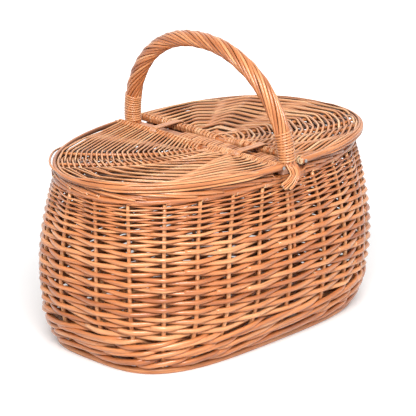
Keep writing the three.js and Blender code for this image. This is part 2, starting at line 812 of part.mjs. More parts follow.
function lid(name, squareness, side) {
  const group = new THREE.Group();
  group.position.set(side * barX, 0, hoopHeight + side * rimSlope * barX);
  group.rotation.set(0, -rimAngle, side > 0 ? 0 : Math.PI);
  group.add(piece(`${name}_lid_bar`, lidBar(squareness), darkWillow));
  group.add(piece(`${name}_lid_hoop`, lidHoop(squareness), willow));
  group.add(piece(`${name}_lid_weave`, lidWeave(squareness), paleWillow));
  ribRays.forEach((_, index) => {
    group.add(piece(`${name}_lid_rib_${index + 1}`, lidRib(squareness, index), darkWillow));
  });
  ['front', 'back'].forEach((end, index) => {
    const way = (index === 0 ? -1 : 1) * side;
    group.add(piece(`${name}_lid_nail_${end}`, nail(way), steel, 0.4, 0.9));
  });
  return group;
}

// The basket, put together
const basket = new THREE.Group();
basket.add(piece('base_weave', baseWeave(), willow));
longStickPlaces.forEach((y, i) => {
  basket.add(piece(`base_stick_long_${i + 1}`, baseStick(longStickSpan, y, true), darkWillow));
});
crossStickPlaces.forEach((x, i) => {
  basket.add(piece(`base_stick_cross_${i + 1}`, baseStick(crossStickSpan, x, false), darkWillow));
});
basket.add(piece('foot_rod', footRod(), willow));
basket.add(piece('foot_wale', wovenWall({
  outerHeights: waleHeights,
  innerHeights: waleHeights,
  wall: waleWall,
  seat: stakeChannel,
  relief: false,
}), willow));
basket.add(piece('side_weave', wovenWall({
  outerHeights: [sideHeights[0], ...rowHeights(), neckHeight],
  innerHeights: sideHeights,
  wall: sideWall,
  seat: sideChannel,
  relief: true,
}), paleWillow));
evenAngles(stakeCount).forEach((angle, i) => {
  basket.add(piece(`stake_${String(i + 1).padStart(2, '0')}`, stake(i, angle), darkWillow));
});
basket.add(piece('rim_border', border(), willow));
basket.add(piece('centre_lath', centreLath(), paleWillow));
basket.add(piece('hinge_loop_front', hingeLoop(-loopY), paleWillow));
basket.add(piece('hinge_loop_back', hingeLoop(loopY), paleWillow));
basket.add(piece('handle_bow', bow(bowRadius), darkWillow));
basket.add(piece('handle_roping', roping(), willow));
basket.add(piece('handle_binding_front', binding(true), paleWillow));
basket.add(piece('handle_binding_back', binding(false), paleWillow));
basket.add(lid('left', leftLidSquareness, -1));
basket.add(lid('right', rightLidSquareness, 1));

export default basket;
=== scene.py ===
# Lidded willow picnic basket: woven side, rolled border, roped bow handle and two flap lids.
# Sizes are in millimetres in the dictionaries and become metres when a mesh is made.
import math
import random

import bmesh
import bpy
import numpy as np
from mathutils import Matrix, Vector, noise


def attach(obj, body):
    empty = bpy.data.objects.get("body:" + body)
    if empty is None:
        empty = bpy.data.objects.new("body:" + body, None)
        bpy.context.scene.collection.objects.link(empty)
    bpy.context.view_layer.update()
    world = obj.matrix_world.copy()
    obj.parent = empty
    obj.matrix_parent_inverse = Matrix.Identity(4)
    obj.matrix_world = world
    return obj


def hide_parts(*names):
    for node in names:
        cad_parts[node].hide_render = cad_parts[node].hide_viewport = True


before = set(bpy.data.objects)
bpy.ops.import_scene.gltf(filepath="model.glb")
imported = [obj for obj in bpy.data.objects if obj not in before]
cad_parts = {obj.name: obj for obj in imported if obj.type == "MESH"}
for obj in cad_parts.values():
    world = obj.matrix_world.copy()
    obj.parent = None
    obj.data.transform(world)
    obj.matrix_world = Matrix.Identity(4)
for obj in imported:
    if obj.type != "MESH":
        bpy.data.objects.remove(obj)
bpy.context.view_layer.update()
mm = 0.001
print("frame loaded")

# Camera, at the place that the photograph was taken from
cameraSettings = {
    "place": (-1.7808, -1.72537, 0.96213), "yaw": 45.906, "pitch": 18.306, "lens": 187.07, "sensor": 36,
}


def makeCamera(s):
    data = bpy.data.cameras.new("camera")
    data.lens = s["lens"]
    data.sensor_width = s["sensor"]
    data.clip_end = 50
    camera = bpy.data.objects.new("camera", data)
    camera.location = s["place"]
    camera.rotation_euler = (math.radians(90 - s["pitch"]), 0, -math.radians(s["yaw"]))
    bpy.context.scene.collection.objects.link(camera)
    bpy.context.scene.camera = camera


makeCamera(cameraSettings)
print("camera placed")

# Materials. Rods carry three attributes: rodTone, from 0 dark to 1 pale; one of painted shade, which
# is 1 on faces that lie far in between other rods, where shade falls; and grainAt, which is the place on
# the rod in millimetres: along it, and across it in two directions.
willowColours = {
    "rod": {"dark": (0.33, 0.084, 0.021), "mid": (0.70, 0.248, 0.080), "pale": (0.92, 0.47, 0.215)},
    "thick": {"dark": (0.33, 0.090, 0.025), "mid": (0.69, 0.252, 0.088), "pale": (0.92, 0.48, 0.225)},
    "lid": {"dark": (0.40, 0.125, 0.040), "mid": (0.78, 0.335, 0.135), "pale": (0.94, 0.57, 0.30)},
    "skein": {"dark": (0.40, 0.12, 0.038), "mid": (0.74, 0.32, 0.12), "pale": (0.92, 0.56, 0.30)},
}
willowFinish = {
    # scales of the patterns: along the rod, and twice across it
    "streakScale": (0.022, 0.62, 0.62), "patchScale": (0.016, 0.12, 0.12), "markScale": (0.16, 0.35, 0.35),
    "toneShare": 0.62, "patchShade": (-0.05, 0.42), "streakFrom": (0.46, 0.66), "markFrom": (0.70, 0.76),
    "markDark": 0.55, "roughness": (0.18, 0.32), "coatRoughness": 0.3, "bump": 0.7, "bumpDepth": 0.0003,
    # colour of the painted shade between rods
    "shaded": (0.075, 0.022, 0.008),
}
# A rod's cut end is pale wood round a darker pith. The lath is sawn: fine grain over slow patches.
cutEndLook = {
    "place": ("ShaderNodeAttribute", "Vector"), "scale": (0, 2.2, 2.2), "pale": (0.90, 0.72, 0.45, 1),
    "dark": (0.70, 0.45, 0.24, 1), "darkFrom": (0.4, 0.7, 0, 1), "roughness": 0.75, "bump": 0.5,
    "bumpDepth": 0.0003,
}
lathLook = {
    "place": ("ShaderNodeTexCoord", "Object"), "scale": (700, 28, 700), "pale": (0.72, 0.40, 0.27, 1),
    "dark": (0.34, 0.14, 0.075, 1), "darkFrom": (0.5, 0.68, 0, 0.5), "roughness": (0.62, 0.8), "bump": 0.6,
    "bumpDepth": 0.0003, "patch": (0.56, 0.27, 0.165, 1), "patchScale": (60, 9, 60),
}
steelLook = {
    "place": ("ShaderNodeTexCoord", "Object"), "scale": (900, 900, 900), "pale": (0.42, 0.42, 0.42, 1),
    "dark": (0.22, 0.19, 0.17, 1), "darkFrom": (0.35, 0.7, 0, 1), "roughness": (0.25, 0.5), "bump": 0.3,
    "bumpDepth": 0.0002, "metallic": 1,
}


class Nodes:
    # Short calls for building one node tree
    def __init__(self, tree):
        self.tree = tree

    def add(self, kind, **values):
        node = self.tree.nodes.new(kind)
        for name, value in values.items():
            setattr(node, name, value)
        return node

    def join(self, source, target):
        self.tree.links.new(source, target)

    def math(self, operation, first, second=None, clamp=False):
        node = self.add("ShaderNodeMath", operation=operation, use_clamp=clamp)
        for socket, value in zip(node.inputs, (first, second)):
            self.put(socket, value)
        return node.outputs[0]

    def put(self, socket, value):
        if value is None:
            return
        if isinstance(value, bpy.types.NodeSocket):
            self.join(value, socket)
        else:
            socket.default_value = value

    def noise(self, vector, scale, detail=3.0):
        scaled = self.add("ShaderNodeVectorMath", operation="MULTIPLY")
        self.join(vector, scaled.inputs[0])
        scaled.inputs[1].default_value = scale
        node = self.add("ShaderNodeTexNoise")
        self.join(scaled.outputs[0], node.inputs["Vector"])
        for label, value in (("Scale", 1), ("Detail", detail), ("Roughness", 0.55)):
            node.inputs[label].default_value = value
        return node.outputs["Fac"]

    def range(self, value, low, high, newLow, newHigh):
        node = self.add("ShaderNodeMapRange", clamp=True)
        for socket, number in zip(node.inputs, (value, low, high, newLow, newHigh)):
            self.put(socket, number)
        return node.outputs["Result"]

    def mix(self, factor, first, second):
        node = self.add("ShaderNodeMix", data_type="RGBA")
        self.put(node.inputs["Factor"], factor)
        self.put(node.inputs[6], first)
        self.put(node.inputs[7], second)
        return node.outputs[2]


def makeGroup(name, inputs, outputs):
    tree = bpy.data.node_groups.new(name, "ShaderNodeTree")
    for label, kind, value in inputs:
        socket = tree.interface.new_socket(name=label, in_out="INPUT", socket_type=kind)
        if value is not None:
            socket.default_value = value
    for label, kind in outputs:
        tree.interface.new_socket(name=label, in_out="OUTPUT", socket_type=kind)
    nodes = Nodes(tree)
    return tree, nodes, nodes.add("NodeGroupInput"), nodes.add("NodeGroupOutput")


def makeGrainGroup(finish):
    # Willow bark stripped and steamed: fine streaks along the rod, slow patches and a few marks
    white = (1, 1, 1, 1)
    tree, n, source, sink = makeGroup(
        "willowGrain",
        [("Grain At", "NodeSocketVector", None), ("Tone", "NodeSocketFloat", 0.5),
         ("Dark", "NodeSocketColor", white), ("Mid", "NodeSocketColor", white),
         ("Pale", "NodeSocketColor", white), ("Streaks", "NodeSocketFloat", 0.5),
         ("Crevice", "NodeSocketFloat", 0.0), ("Shaded", "NodeSocketColor", white)],
        [("Color", "NodeSocketColor"), ("Roughness", "NodeSocketFloat"),
         ("Height", "NodeSocketFloat")])
    given = source.outputs
    fine = n.noise(given["Grain At"], finish["streakScale"])
    slow = n.noise(given["Grain At"], finish["patchScale"], detail=2)
    marks = n.noise(given["Grain At"], finish["markScale"], detail=1)
    shade = n.math("ADD", n.math("MULTIPLY", given["Tone"], finish["toneShare"]),
                   n.range(slow, 0.3, 0.7, *finish["patchShade"]))
    low = n.mix(n.range(shade, 0.02, 0.5, 0, 1), given["Dark"], given["Mid"])
    base = n.mix(n.range(shade, 0.5, 1, 0, 1), low, given["Pale"])
    streak = n.math("MULTIPLY", n.range(fine, *finish["streakFrom"], 0, 1), given["Streaks"])
    mark = n.range(marks, *finish["markFrom"], 0, finish["markDark"])
    marked = n.mix(mark, n.mix(streak, base, given["Dark"]), given["Dark"])
    # painted shade: faces that lie far in between other rods are mixed towards the near-black brown
    n.join(n.mix(given["Crevice"], marked, given["Shaded"]), sink.inputs["Color"])
    n.join(n.range(fine, 0.3, 0.7, *finish["roughness"]), sink.inputs["Roughness"])
    n.join(n.math("ADD", fine, n.math("MULTIPLY", mark, 0.6)), sink.inputs["Height"])
    return tree


grainGroup = makeGrainGroup(willowFinish)


def clearedNodes(owner):
    owner.use_nodes = True
    owner.node_tree.nodes.clear()
    return Nodes(owner.node_tree)


def newMaterial(name):
    material = bpy.data.materials.new(name)
    nodes = clearedNodes(material)
    shader = nodes.add("ShaderNodeBsdfPrincipled")
    output = nodes.add("ShaderNodeOutputMaterial")
    nodes.join(shader.outputs["BSDF"], output.inputs["Surface"])
    return material, nodes, shader


def addBump(nodes, shader, height, look):
    bump = nodes.add("ShaderNodeBump")
    bump.inputs["Strength"].default_value = look["bump"]
    bump.inputs["Distance"].default_value = look["bumpDepth"]
    nodes.join(height, bump.inputs["Height"])
    nodes.join(bump.outputs["Normal"], shader.inputs["Normal"])


def willowMaterial(name, colours, streaks, coat=0.0):
    material, nodes, shader = newMaterial(name)
    grain = nodes.add("ShaderNodeGroup", node_tree=grainGroup)
    for attribute, output, label in (("grainAt", "Vector", "Grain At"), ("rodTone", "Fac", "Tone"),
                                     ("paintedShade", "Fac", "Crevice")):
        source = nodes.add("ShaderNodeAttribute", attribute_name=attribute)
        nodes.join(source.outputs[output], grain.inputs[label])
    for label, colour in (*colours.items(), ("shaded", willowFinish["shaded"])):
        grain.inputs[label.capitalize()].default_value = (*colour, 1)
    grain.inputs["Streaks"].default_value = streaks
    nodes.join(grain.outputs["Color"], shader.inputs["Base Color"])
    nodes.join(grain.outputs["Roughness"], shader.inputs["Roughness"])
    shader.inputs["Coat Weight"].default_value = coat
    shader.inputs["Coat Roughness"].default_value = willowFinish["coatRoughness"]
    addBump(nodes, shader, grain.outputs["Height"], willowFinish)
    return material


def plainMaterial(name, look):
    # Pale and dark over a fine noise, and under them slow patches where the look has them
    material, nodes, shader = newMaterial(name)
    kind, output = look["place"]
    source = nodes.add(kind)
    if kind == "ShaderNodeAttribute":
        source.attribute_name = "grainAt"
    place = source.outputs[output]
    fine = nodes.noise(place, look["scale"])
    base = look["pale"]
    if "patch" in look:
        slow = nodes.noise(place, look["patchScale"], detail=2)
        base = nodes.mix(nodes.range(slow, 0.3, 0.7, 0, 1), look["patch"], base)
    colour = nodes.mix(nodes.range(fine, *look["darkFrom"]), base, look["dark"])
    nodes.join(colour, shader.inputs["Base Color"])
    rough = look["roughness"]
    if isinstance(rough, tuple):
        rough = nodes.range(fine, 0.3, 0.7, *rough)
    nodes.put(shader.inputs["Roughness"], rough)
    shader.inputs["Metallic"].default_value = look.get("metallic", 0)
    addBump(nodes, shader, fine, look)
    return material


rodFinish = willowMaterial("willow rod", willowColours["rod"], streaks=0.45, coat=0.4)
thickFinish = willowMaterial("thick willow rod", willowColours["thick"], streaks=0.55)
lidFinish = willowMaterial("lid willow", willowColours["lid"], streaks=0.45)
skeinFinish = willowMaterial("split skein", willowColours["skein"], streaks=0.4, coat=0.8)
cutFinish = plainMaterial("cut end", cutEndLook)
lathFinish = plainMaterial("sawn lath", lathLook)
steelFinish = plainMaterial("dull nail", steelLook)
print("materials made")

# Rods. A rod is {"points": its middle line, "radii": one at each point, "tone": 0 dark to 1 pale}.
# One that lies among others has painted shade too: the way out of the weave, and at each point how
# much painted shade darkens its outer side, its inner side, its underside and its two flanks.


def smooth(value):
    t = np.clip(value, 0, 1)
    return t * t * (3 - 2 * t)


def wobble(seed, values, size):
    # Slow smooth changes along a rod, between minus and plus size
    return np.array([size * noise.noise(Vector((value, seed * 7.31, 2.7))) for value in values])


def relaxed(values, rounds):
    for _ in range(rounds):
        values[1:-1] = (values[:-2] + 2 * values[1:-1] + values[2:]) / 4
    return values


def distancesAlong(points):
    return np.r_[0, np.cumsum(np.linalg.norm(np.diff(points, axis=0), axis=1))]


def paintedShadeSides(out, outer=0.0, inner=0.0, below=0.0, flanks=0.0, edge=-0.3):
    # edge is where the painted shade of the inner side begins, from 1 on the outer side to -1 on the inner
    # one
    return {"out": out, "outer": outer, "inner": inner, "below": below, "flanks": flanks, "edge": edge}


def paintedShadeAt(around, radii, shadeSides):
    # Painted shade at each vertex of a rod, 0 to 1, by how far in between its neighbours it lies
    count = len(radii)
    outer, inner, below, flanks = (np.broadcast_to(shadeSides[key], count)[:, None]
                                   for key in ("outer", "inner", "below", "flanks"))
    facing = np.einsum("psk,pk->ps", around, np.broadcast_to(shadeSides["out"], (count, 3))) / radii[:, None]
    downward = -around[:, :, 2] / radii[:, None]
    return np.max([outer * smooth((facing + 0.45) * 2.5), inner * smooth((shadeSides["edge"] - facing) * 2.5),
                   below * smooth((downward - 0.05) * 3),
                   flanks * smooth((0.5 - np.abs(facing)) * 2.5)], axis=0)


def rod(points, radii, tone, shadeSides=None):
    points = np.asarray(points, float)
    radii = np.full(len(points), float(radii)) if np.isscalar(radii) else np.asarray(radii, float)
    return {"points": points, "radii": radii, "tone": tone, "shadeSides": shadeSides}


def linkObject(name, data):
    piece = bpy.data.objects.new(name, data)
    bpy.context.scene.collection.objects.link(piece)
    return piece


def meshFrom(name, work):
    mesh = bpy.data.meshes.new(name)
    work.to_mesh(mesh)
    work.free()
    return mesh


def finishPiece(name, mesh, finishes, body, nodes):
    for finish in finishes:
        mesh.materials.append(finish)
    piece = linkObject(name, mesh)
    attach(piece, body)
    if nodes:
        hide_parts(*nodes)
    print(name, len(mesh.polygons), "faces")


def sweptMesh(name, rods, sides):
    curve = bpy.data.curves.new(name, "CURVE")
    curve.dimensions = "3D"
    curve.bevel_depth = mm
    curve.bevel_resolution = (sides - 4) // 2
    for each in rods:
        spline = curve.splines.new("POLY")
        count = len(each["points"])
        spline.points.add(count - 1)
        places = np.ones((count, 4))
        places[:, :3] = each["points"] * mm
        spline.points.foreach_set("co", places.ravel())
        spline.points.foreach_set("radius", each["radii"])
    holder = linkObject(name, curve)
    mesh = bpy.data.meshes.new_from_object(holder)
    bpy.data.objects.remove(holder)
    bpy.data.curves.remove(curve)
    mesh.name = name
    return mesh


def closeEnds(mesh, sides):
    work = bmesh.new()
    work.from_mesh(mesh)
    for face in work.faces:
        face.smooth = True
        face.material_index = 0
    rims = [edge for edge in work.edges if edge.is_boundary]
    caps = bmesh.ops.holes_fill(work, edges=rims, sides=sides)["faces"]
    for face in caps:
        face.material_index = 1
        face.smooth = False
    bmesh.ops.recalc_face_normals(work, faces=work.faces)
    work.to_mesh(mesh)
    work.free()


def addRodAttributes(mesh, rods, sides, seed):
    draw = random.Random(seed)
    corners = np.zeros(len(mesh.vertices) * 3)
    mesh.vertices.foreach_get("co", corners)
    corners = corners.reshape(-1, 3) / mm
    tones, places, rings, paintedShades = [], [], [], []
    turn = 2 * np.pi * np.arange(sides) / sides
    first, distance = 0, 0.0
    for each in rods:
        points, radii = each["points"], each["radii"]
        count = len(points)
        along = distancesAlong(points)
        offset = np.array([draw.uniform(0, 4000), draw.uniform(0, 90), draw.uniform(0, 90)])
        spot = np.zeros((count, sides, 3))
        spot[:, :, 0] = along[:, None]
        spot[:, :, 1] = radii[:, None] * np.cos(turn)
        spot[:, :, 2] = radii[:, None] * np.sin(turn)
        places.append((spot + offset).reshape(-1, 3))
        tones.append(np.repeat(np.broadcast_to(each["tone"], count), sides))
        # painted shade at each vertex, for rods that lie among others
        dark = np.zeros((count, sides))
        if each["shadeSides"]:
            around = corners[first:first + dark.size].reshape(count, sides, 3) - points[:, None]
            dark = paintedShadeAt(around, radii, each["shadeSides"])
        paintedShades.append(dark.ravel())
        rings.append(np.repeat(distance + along, sides))
        first += dark.size
        distance += along[-1] + 4
    for label, kind, field, values in (("rodTone", "FLOAT", "value", tones),
                                       ("paintedShade", "FLOAT", "value", paintedShades),
                                       ("grainAt", "FLOAT_VECTOR", "vector", places)):
        attribute = mesh.attributes.new(label, kind, "POINT")
        attribute.data.foreach_set(field, np.concatenate(values).astype(np.float32).ravel())
    layMap(mesh, np.concatenate(rings), distance, sides, max(each["radii"].max() for each in rods))


def layMap(mesh, rings, distance, sides, radius):
    # Lays the rods side by side in rows, like lines of text, and the cut ends in rows of their own
    height = 2 * np.pi * radius * 1.25
    line = math.sqrt(distance * height) * 1.02
    lines = math.ceil(distance / line)
    width = line + np.diff(rings[::sides]).max() + 1
    polygons = mesh.polygons
    starts, totals, caps = (np.zeros(len(polygons), int) for _ in range(3))
    polygons.foreach_get("loop_start", starts)
    polygons.foreach_get("loop_total", totals)
    polygons.foreach_get("material_index", caps)
    corners = np.zeros(len(mesh.loops), int)
    mesh.loops.foreach_get("vertex_index", corners)
    order = np.argsort(starts)
    owner = np.repeat(order, totals[order])
    side = corners % sides
    first = np.full(len(starts), 1e12)
    np.minimum.at(first, owner, rings[corners])
    low = np.full(len(starts), sides)
    np.minimum.at(low, owner, side)
    seam = np.zeros(len(starts), bool)
    np.logical_or.at(seam, owner, side == sides - 1)
    wrapped = seam[owner] & (side == 0) & (low[owner] == 0)
    around = np.where(wrapped, sides, side)
    row = np.floor(first / line)
    rows = lines + math.ceil((caps.sum() + 1) * height / width)
    across = (rings[corners] - row[owner] * line) / width
    up = (row[owner] + 0.1 + 0.8 * around / sides) / rows
    capNumber = np.cumsum(caps) - 1
    cells = max(1, int(width // height))
    capRow, capCell = capNumber // cells, capNumber % cells
    angle = 2 * np.pi * side / sides
    capAcross = (capCell[owner] + 0.5 + 0.4 * np.cos(angle)) * height / width
    capUp = (lines + capRow[owner] + 0.5 + 0.4 * np.sin(angle)) / rows
    flat = caps[owner] == 1
    places = np.stack([np.where(flat, capAcross, across), np.where(flat, capUp, up)], 1)
    uvMap = mesh.uv_layers.get("OFBake") or mesh.uv_layers.new(name="OFBake")
    uvMap.data.foreach_set("uv", np.clip(places, 0, 1).astype(np.float32).ravel())
    for name in [other.name for other in mesh.uv_layers if other.name != "OFBake"]:
        mesh.uv_layers.remove(mesh.uv_layers[name])


def makeRods(name, rods, finish, body, nodes, sides=8, seed=1):
    mesh = sweptMesh(name, rods, sides)
    closeEnds(mesh, sides)
    addRodAttributes(mesh, rods, sides, seed)
    finishPiece(name, mesh, (finish, cutFinish), body, nodes)


def makeSkein(name, node, stations, s, tone, seed):
    # A skein is flat split willow. A station on it is (point, outward, across).
    draw = random.Random(seed)
    points, outs, wides = (np.array(column, float) for column in zip(*stations))
    along = distancesAlong(points)
    offset = (draw.uniform(0, 4000), draw.uniform(0, 90))
    last = len(points) - 1
    thickness, half = s["thickness"], s["width"] / 2
    work = bmesh.new()
    toneLayer = work.verts.layers.float.new("rodTone")
    placeLayer = work.verts.layers.float_vector.new("grainAt")
    bmesh.ops.create_grid(work, x_segments=last, y_segments=4, size=1)
    for vert in work.verts:
        index = (vert.co.x + 1) / 2 * last
        k = min(last - 1, int(index))
        part = index - k
        share = vert.co.y
        crown = thickness * (0.5 - 0.45 * share * share)
        place, out, wide, distance = (row[k] * (1 - part) + row[k + 1] * part
                                      for row in (points, outs, wides, along))
        vert.co = Vector(place + out * crown + wide * share * half) * mm
        vert[toneLayer] = tone
        vert[placeLayer] = (distance + offset[0], share * half + offset[1], 0)
    work.normal_update()
    bmesh.ops.solidify(work, geom=work.faces[:], thickness=thickness * 0.9 * mm)
    bmesh.ops.recalc_face_normals(work, faces=work.faces)
    for face in work.faces:
        face.smooth = True
    finishPiece(name, meshFrom(name, work), [skeinFinish], "basket", [node])


# Side of the basket, as the frame has it. An oval is (half length, half width, squareness).
sideShape = {
    "foot": (193.8, 112.6, 3.5), "belly": (221.5, 145.3, 2.7), "neck": (210.5, 134.3, 2.3),
    "bellyHeight": 95.7, "neckHeight": 205, "flareBelow": 2, "flareAbove": 1.75, "rimSlope": 0.012,
    "stakes": 26, "stakeDepth": 6.75,
}
stakeCount = sideShape["stakes"]
rimSlope = sideShape["rimSlope"]


def sideOval(height):
    s = sideShape
    height = np.asarray(height, float)
    middle, top = s["bellyHeight"], s["neckHeight"]
    below = np.maximum(0, (middle - height) / middle) ** s["flareBelow"]
    above = np.maximum(0, (height - middle) / (top - middle)) ** s["flareAbove"]
    return tuple(belly - (belly - foot) * below - (belly - neck) * above
                 for foot, belly, neck in zip(s["foot"], s["belly"], s["neck"]))


def ovalXY(angle, oval):
    halfLength, halfWidth, squareness = oval
    c, s = np.cos(angle), np.sin(angle)
    x = halfLength * np.sign(c) * np.abs(c) ** (2 / squareness)
    y = halfWidth * np.sign(s) * np.abs(s) ** (2 / squareness)
    return x, y


def ovalNormal(x, y, oval):
    halfLength, halfWidth, squareness = oval
    nx = np.sign(x) * np.abs(x / halfLength) ** (squareness - 1) / halfLength
    ny = np.sign(y) * np.abs(y / halfWidth) ** (squareness - 1) / halfWidth
    size = np.hypot(nx, ny)
    return nx / size, ny / size


def evenTable():
    # Places round the neck, counted in stakes from the middle of the front, against their angles
    turns = np.linspace(0, 2 * np.pi, 5201) - np.pi / 2
    x, y = ovalXY(turns, sideOval(sideShape["neckHeight"]))
    lengths = np.r_[0, np.cumsum(np.hypot(np.diff(x), np.diff(y)))]
    return lengths / lengths[-1] * stakeCount, turns


stakePlaces, stakeTurns = evenTable()
stakeSettings = {
    "radius": (2.9, 2.2), "bottom": 10, "top": 206, "pairShift": -4.5, "steps": 26, "tone": (0.75, 1.15),
}
weaveSettings = {
    "bottom": 48, "top": 205, "pitch": 5.95, "pitchDrop": 3.5, "dropFrom": 130, "dropOver": 75,
    "bend": 0.998, "steps": 10, "rodStakes": (8, 14), "proud": 0.3, "overlap": 0.8, "shownShare": 0.3,
    "shownOverlap": 1.25, "butt": 0.375, "tipLength": 1.2, "tipThin": 0.35, "buttLift": 0.22, "tipDrop": 0.24,
    # fill is the share of its row that a rod fills, and backFill what it fills more round backPlace,
    # where light would come through the far side
    "fill": 0.95, "backFill": 0.23, "backPlace": 11, "backReach": 7.5, "backFade": 2.5,
    # the last two set how strong the painted shade is between rods, and on every rod's inner side, where the
    # inside of the basket lies in shade
    "paintedShade": 0.9, "inside": 0.55,
}


def ringPoints(place, height, depth, shift=0.0, oval=None):
    # Points of a ring. place counts stakes, depth goes inwards and shift runs along the ring.
    place = np.asarray(place, float)
    height = np.broadcast_to(np.asarray(height, float), place.shape)
    angle = np.interp(place % stakeCount, stakePlaces, stakeTurns)
    oval = oval or sideOval(height)
    x, y = ovalXY(angle, oval)
    nx, ny = ovalNormal(x, y, oval)
    px = x - depth * nx - shift * ny
    py = y - depth * ny + shift * nx
    pz = height + rimSlope * px * np.minimum(1, height / sideShape["neckHeight"])
    return np.stack([px, py, pz], 1)


def ringOutward(places, height):
    # The level way out of the side at some places
    near, far = ringPoints(places, height, 0.5), ringPoints(places, height, -0.5)
    out = (far - near) * np.array([1, 1, 0])
    return out / np.linalg.norm(out, axis=1)[:, None]


def rowPitch(height):
    # Height of one row of the side's weave, lower towards the neck
    w = weaveSettings
    return w["pitch"] - w["pitchDrop"] * smooth((height - w["dropFrom"]) / w["dropOver"])


def sideRodRadius(height):
    return 0.5 * rowPitch(height)


def stakeRadius(height):
    low, high = stakeSettings["radius"]
    return low + (high - low) * np.clip(np.asarray(height, float) / sideShape["neckHeight"], 0, 1)


def stakeLine(height):
    # Depth of a stake's middle: thin rods near the neck let it lie further out
    return np.minimum(sideShape["stakeDepth"], 1.8 * sideRodRadius(height) + stakeRadius(height))


def makeStakes(s):
    draw = random.Random(11)
    for i in range(stakeCount):
        heights = np.linspace(s["bottom"], s["top"], s["steps"])
        shared = i % (stakeCount // 2) == 0
        shift = s["pairShift"] if shared else 0.0
        lean = wobble(i + 40, heights / 60, 0.5)
        points = ringPoints(np.full(len(heights), float(i)), heights, stakeLine(heights), shift + lean)
        radii = stakeRadius(heights) * draw.uniform(0.94, 1.05)
        made = rod(points, radii, draw.uniform(*s["tone"]))
        makeRods(f"side_stake_{i + 1:02d}", [made], thickFinish, "basket",
                 [f"stake_{i + 1:02d}"], sides=10, seed=100 + i)


makeStakes(stakeSettings)

# Woven side: rows of rods that pass in front of one stake and behind the next


def weaveWave(place, row, bend):
    # 1 in front of a stake and -1 behind it, nearly straight between the two
    return np.arcsin(bend * np.cos(np.pi * (place + row))) / np.arcsin(bend)


def sideRow(row, height, pitch, draw, s):
    # One row: rods of a few stakes each, butt over tip, until the row is round
    rods = []
    shortest, longest = s["rodStakes"]
    start = draw.randrange(stakeCount)
    start += (start + row) % 2
    place, end = float(start), float(start + stakeCount)
    while place < end - 0.1:
        length = 2 * draw.randint(shortest // 2, longest // 2)
        if end - (place + length) < shortest / 2:
            length = end - place
        shown = draw.random() < s["shownShare"]
        stop = place + length + s["shownOverlap" if shown else "overlap"]
        begin = place - s["butt"]
        steps = np.arange(round(begin * s["steps"]), round(stop * s["steps"]) + 1)
        places = steps / s["steps"]
        part = (places - begin) / (stop - begin)
        fromBack = np.abs(places % stakeCount - s["backPlace"])
        back = smooth((s["backReach"] - fromBack) / s["backFade"])
        fill = s["fill"] + s["backFill"] * back
        radii = fill * sideRodRadius(height) * draw.uniform(0.97, 1.04) * (1.06 - 0.14 * part)
        radii *= 1 + wobble(row + 3 * place, places * 0.9, 0.05)
        tip = smooth((places - (stop - s["tipLength"])) / s["tipLength"])
        butt = 1 - smooth((places - begin) / s["tipLength"])
        radii *= 1 - s["tipThin"] * tip
        stake = stakeLine(height)
        reach = stake - radii + s["proud"]
        wave = weaveWave(places, row, s["bend"])
        lift = pitch * (s["buttLift"] * butt - s["tipDrop"] * tip)
        # the ripple is shared by rows that lie on each other, and every row has a little of its own
        ripple = wobble(1, places * 0.45 + height * 0.004, 0.5)
        ripple += wobble(row + 9, places * 0.8, 0.04 * pitch)
        points = ringPoints(places, height + lift + ripple, stake - reach * wave)
        tone = 0.1 + 0.85 * draw.random()
        # painted shade: the outer side behind a stake, all of the inner side, and the underside where the rod
        # goes in
        outer = s["paintedShade"] * smooth((-wave - 0.72) * 5)
        inner = np.maximum(s["inside"], s["paintedShade"] * smooth((wave - 0.6) * 3))
        below = s["paintedShade"] * smooth((-wave + 0.12) * 2.2)
        rods.append(rod(points, radii, tone, paintedShadeSides(ringOutward(places, height), outer, inner, below)))
        place += length
    return rods


def makeSideWeave(s):
    draw = random.Random(5)
    rods = []
    height, row = s["bottom"] + 0.5 * s["pitch"], 0
    while height < s["top"] - 1:
        pitch = float(rowPitch(height))
        rods += sideRow(row, height, pitch, draw, s)
        height += pitch
        row += 1
    print("side rows", row)
    makeRods("side_randing", rods, rodFinish, "basket", ["side_weave"], sides=8, seed=2)


makeSideWeave(weaveSettings)

# Waling at the foot: rounds of three rods, each in front of two stakes and behind one
waleSettings = {
    "bottom": 13.6, "round": 12.7, "rounds": 3, "weavers": 3, "radius": 3.05, "rise": 5.0, "steps": 6,
    "closeAt": 27, "tipLength": 1.2, "tipThin": 0.4,
}


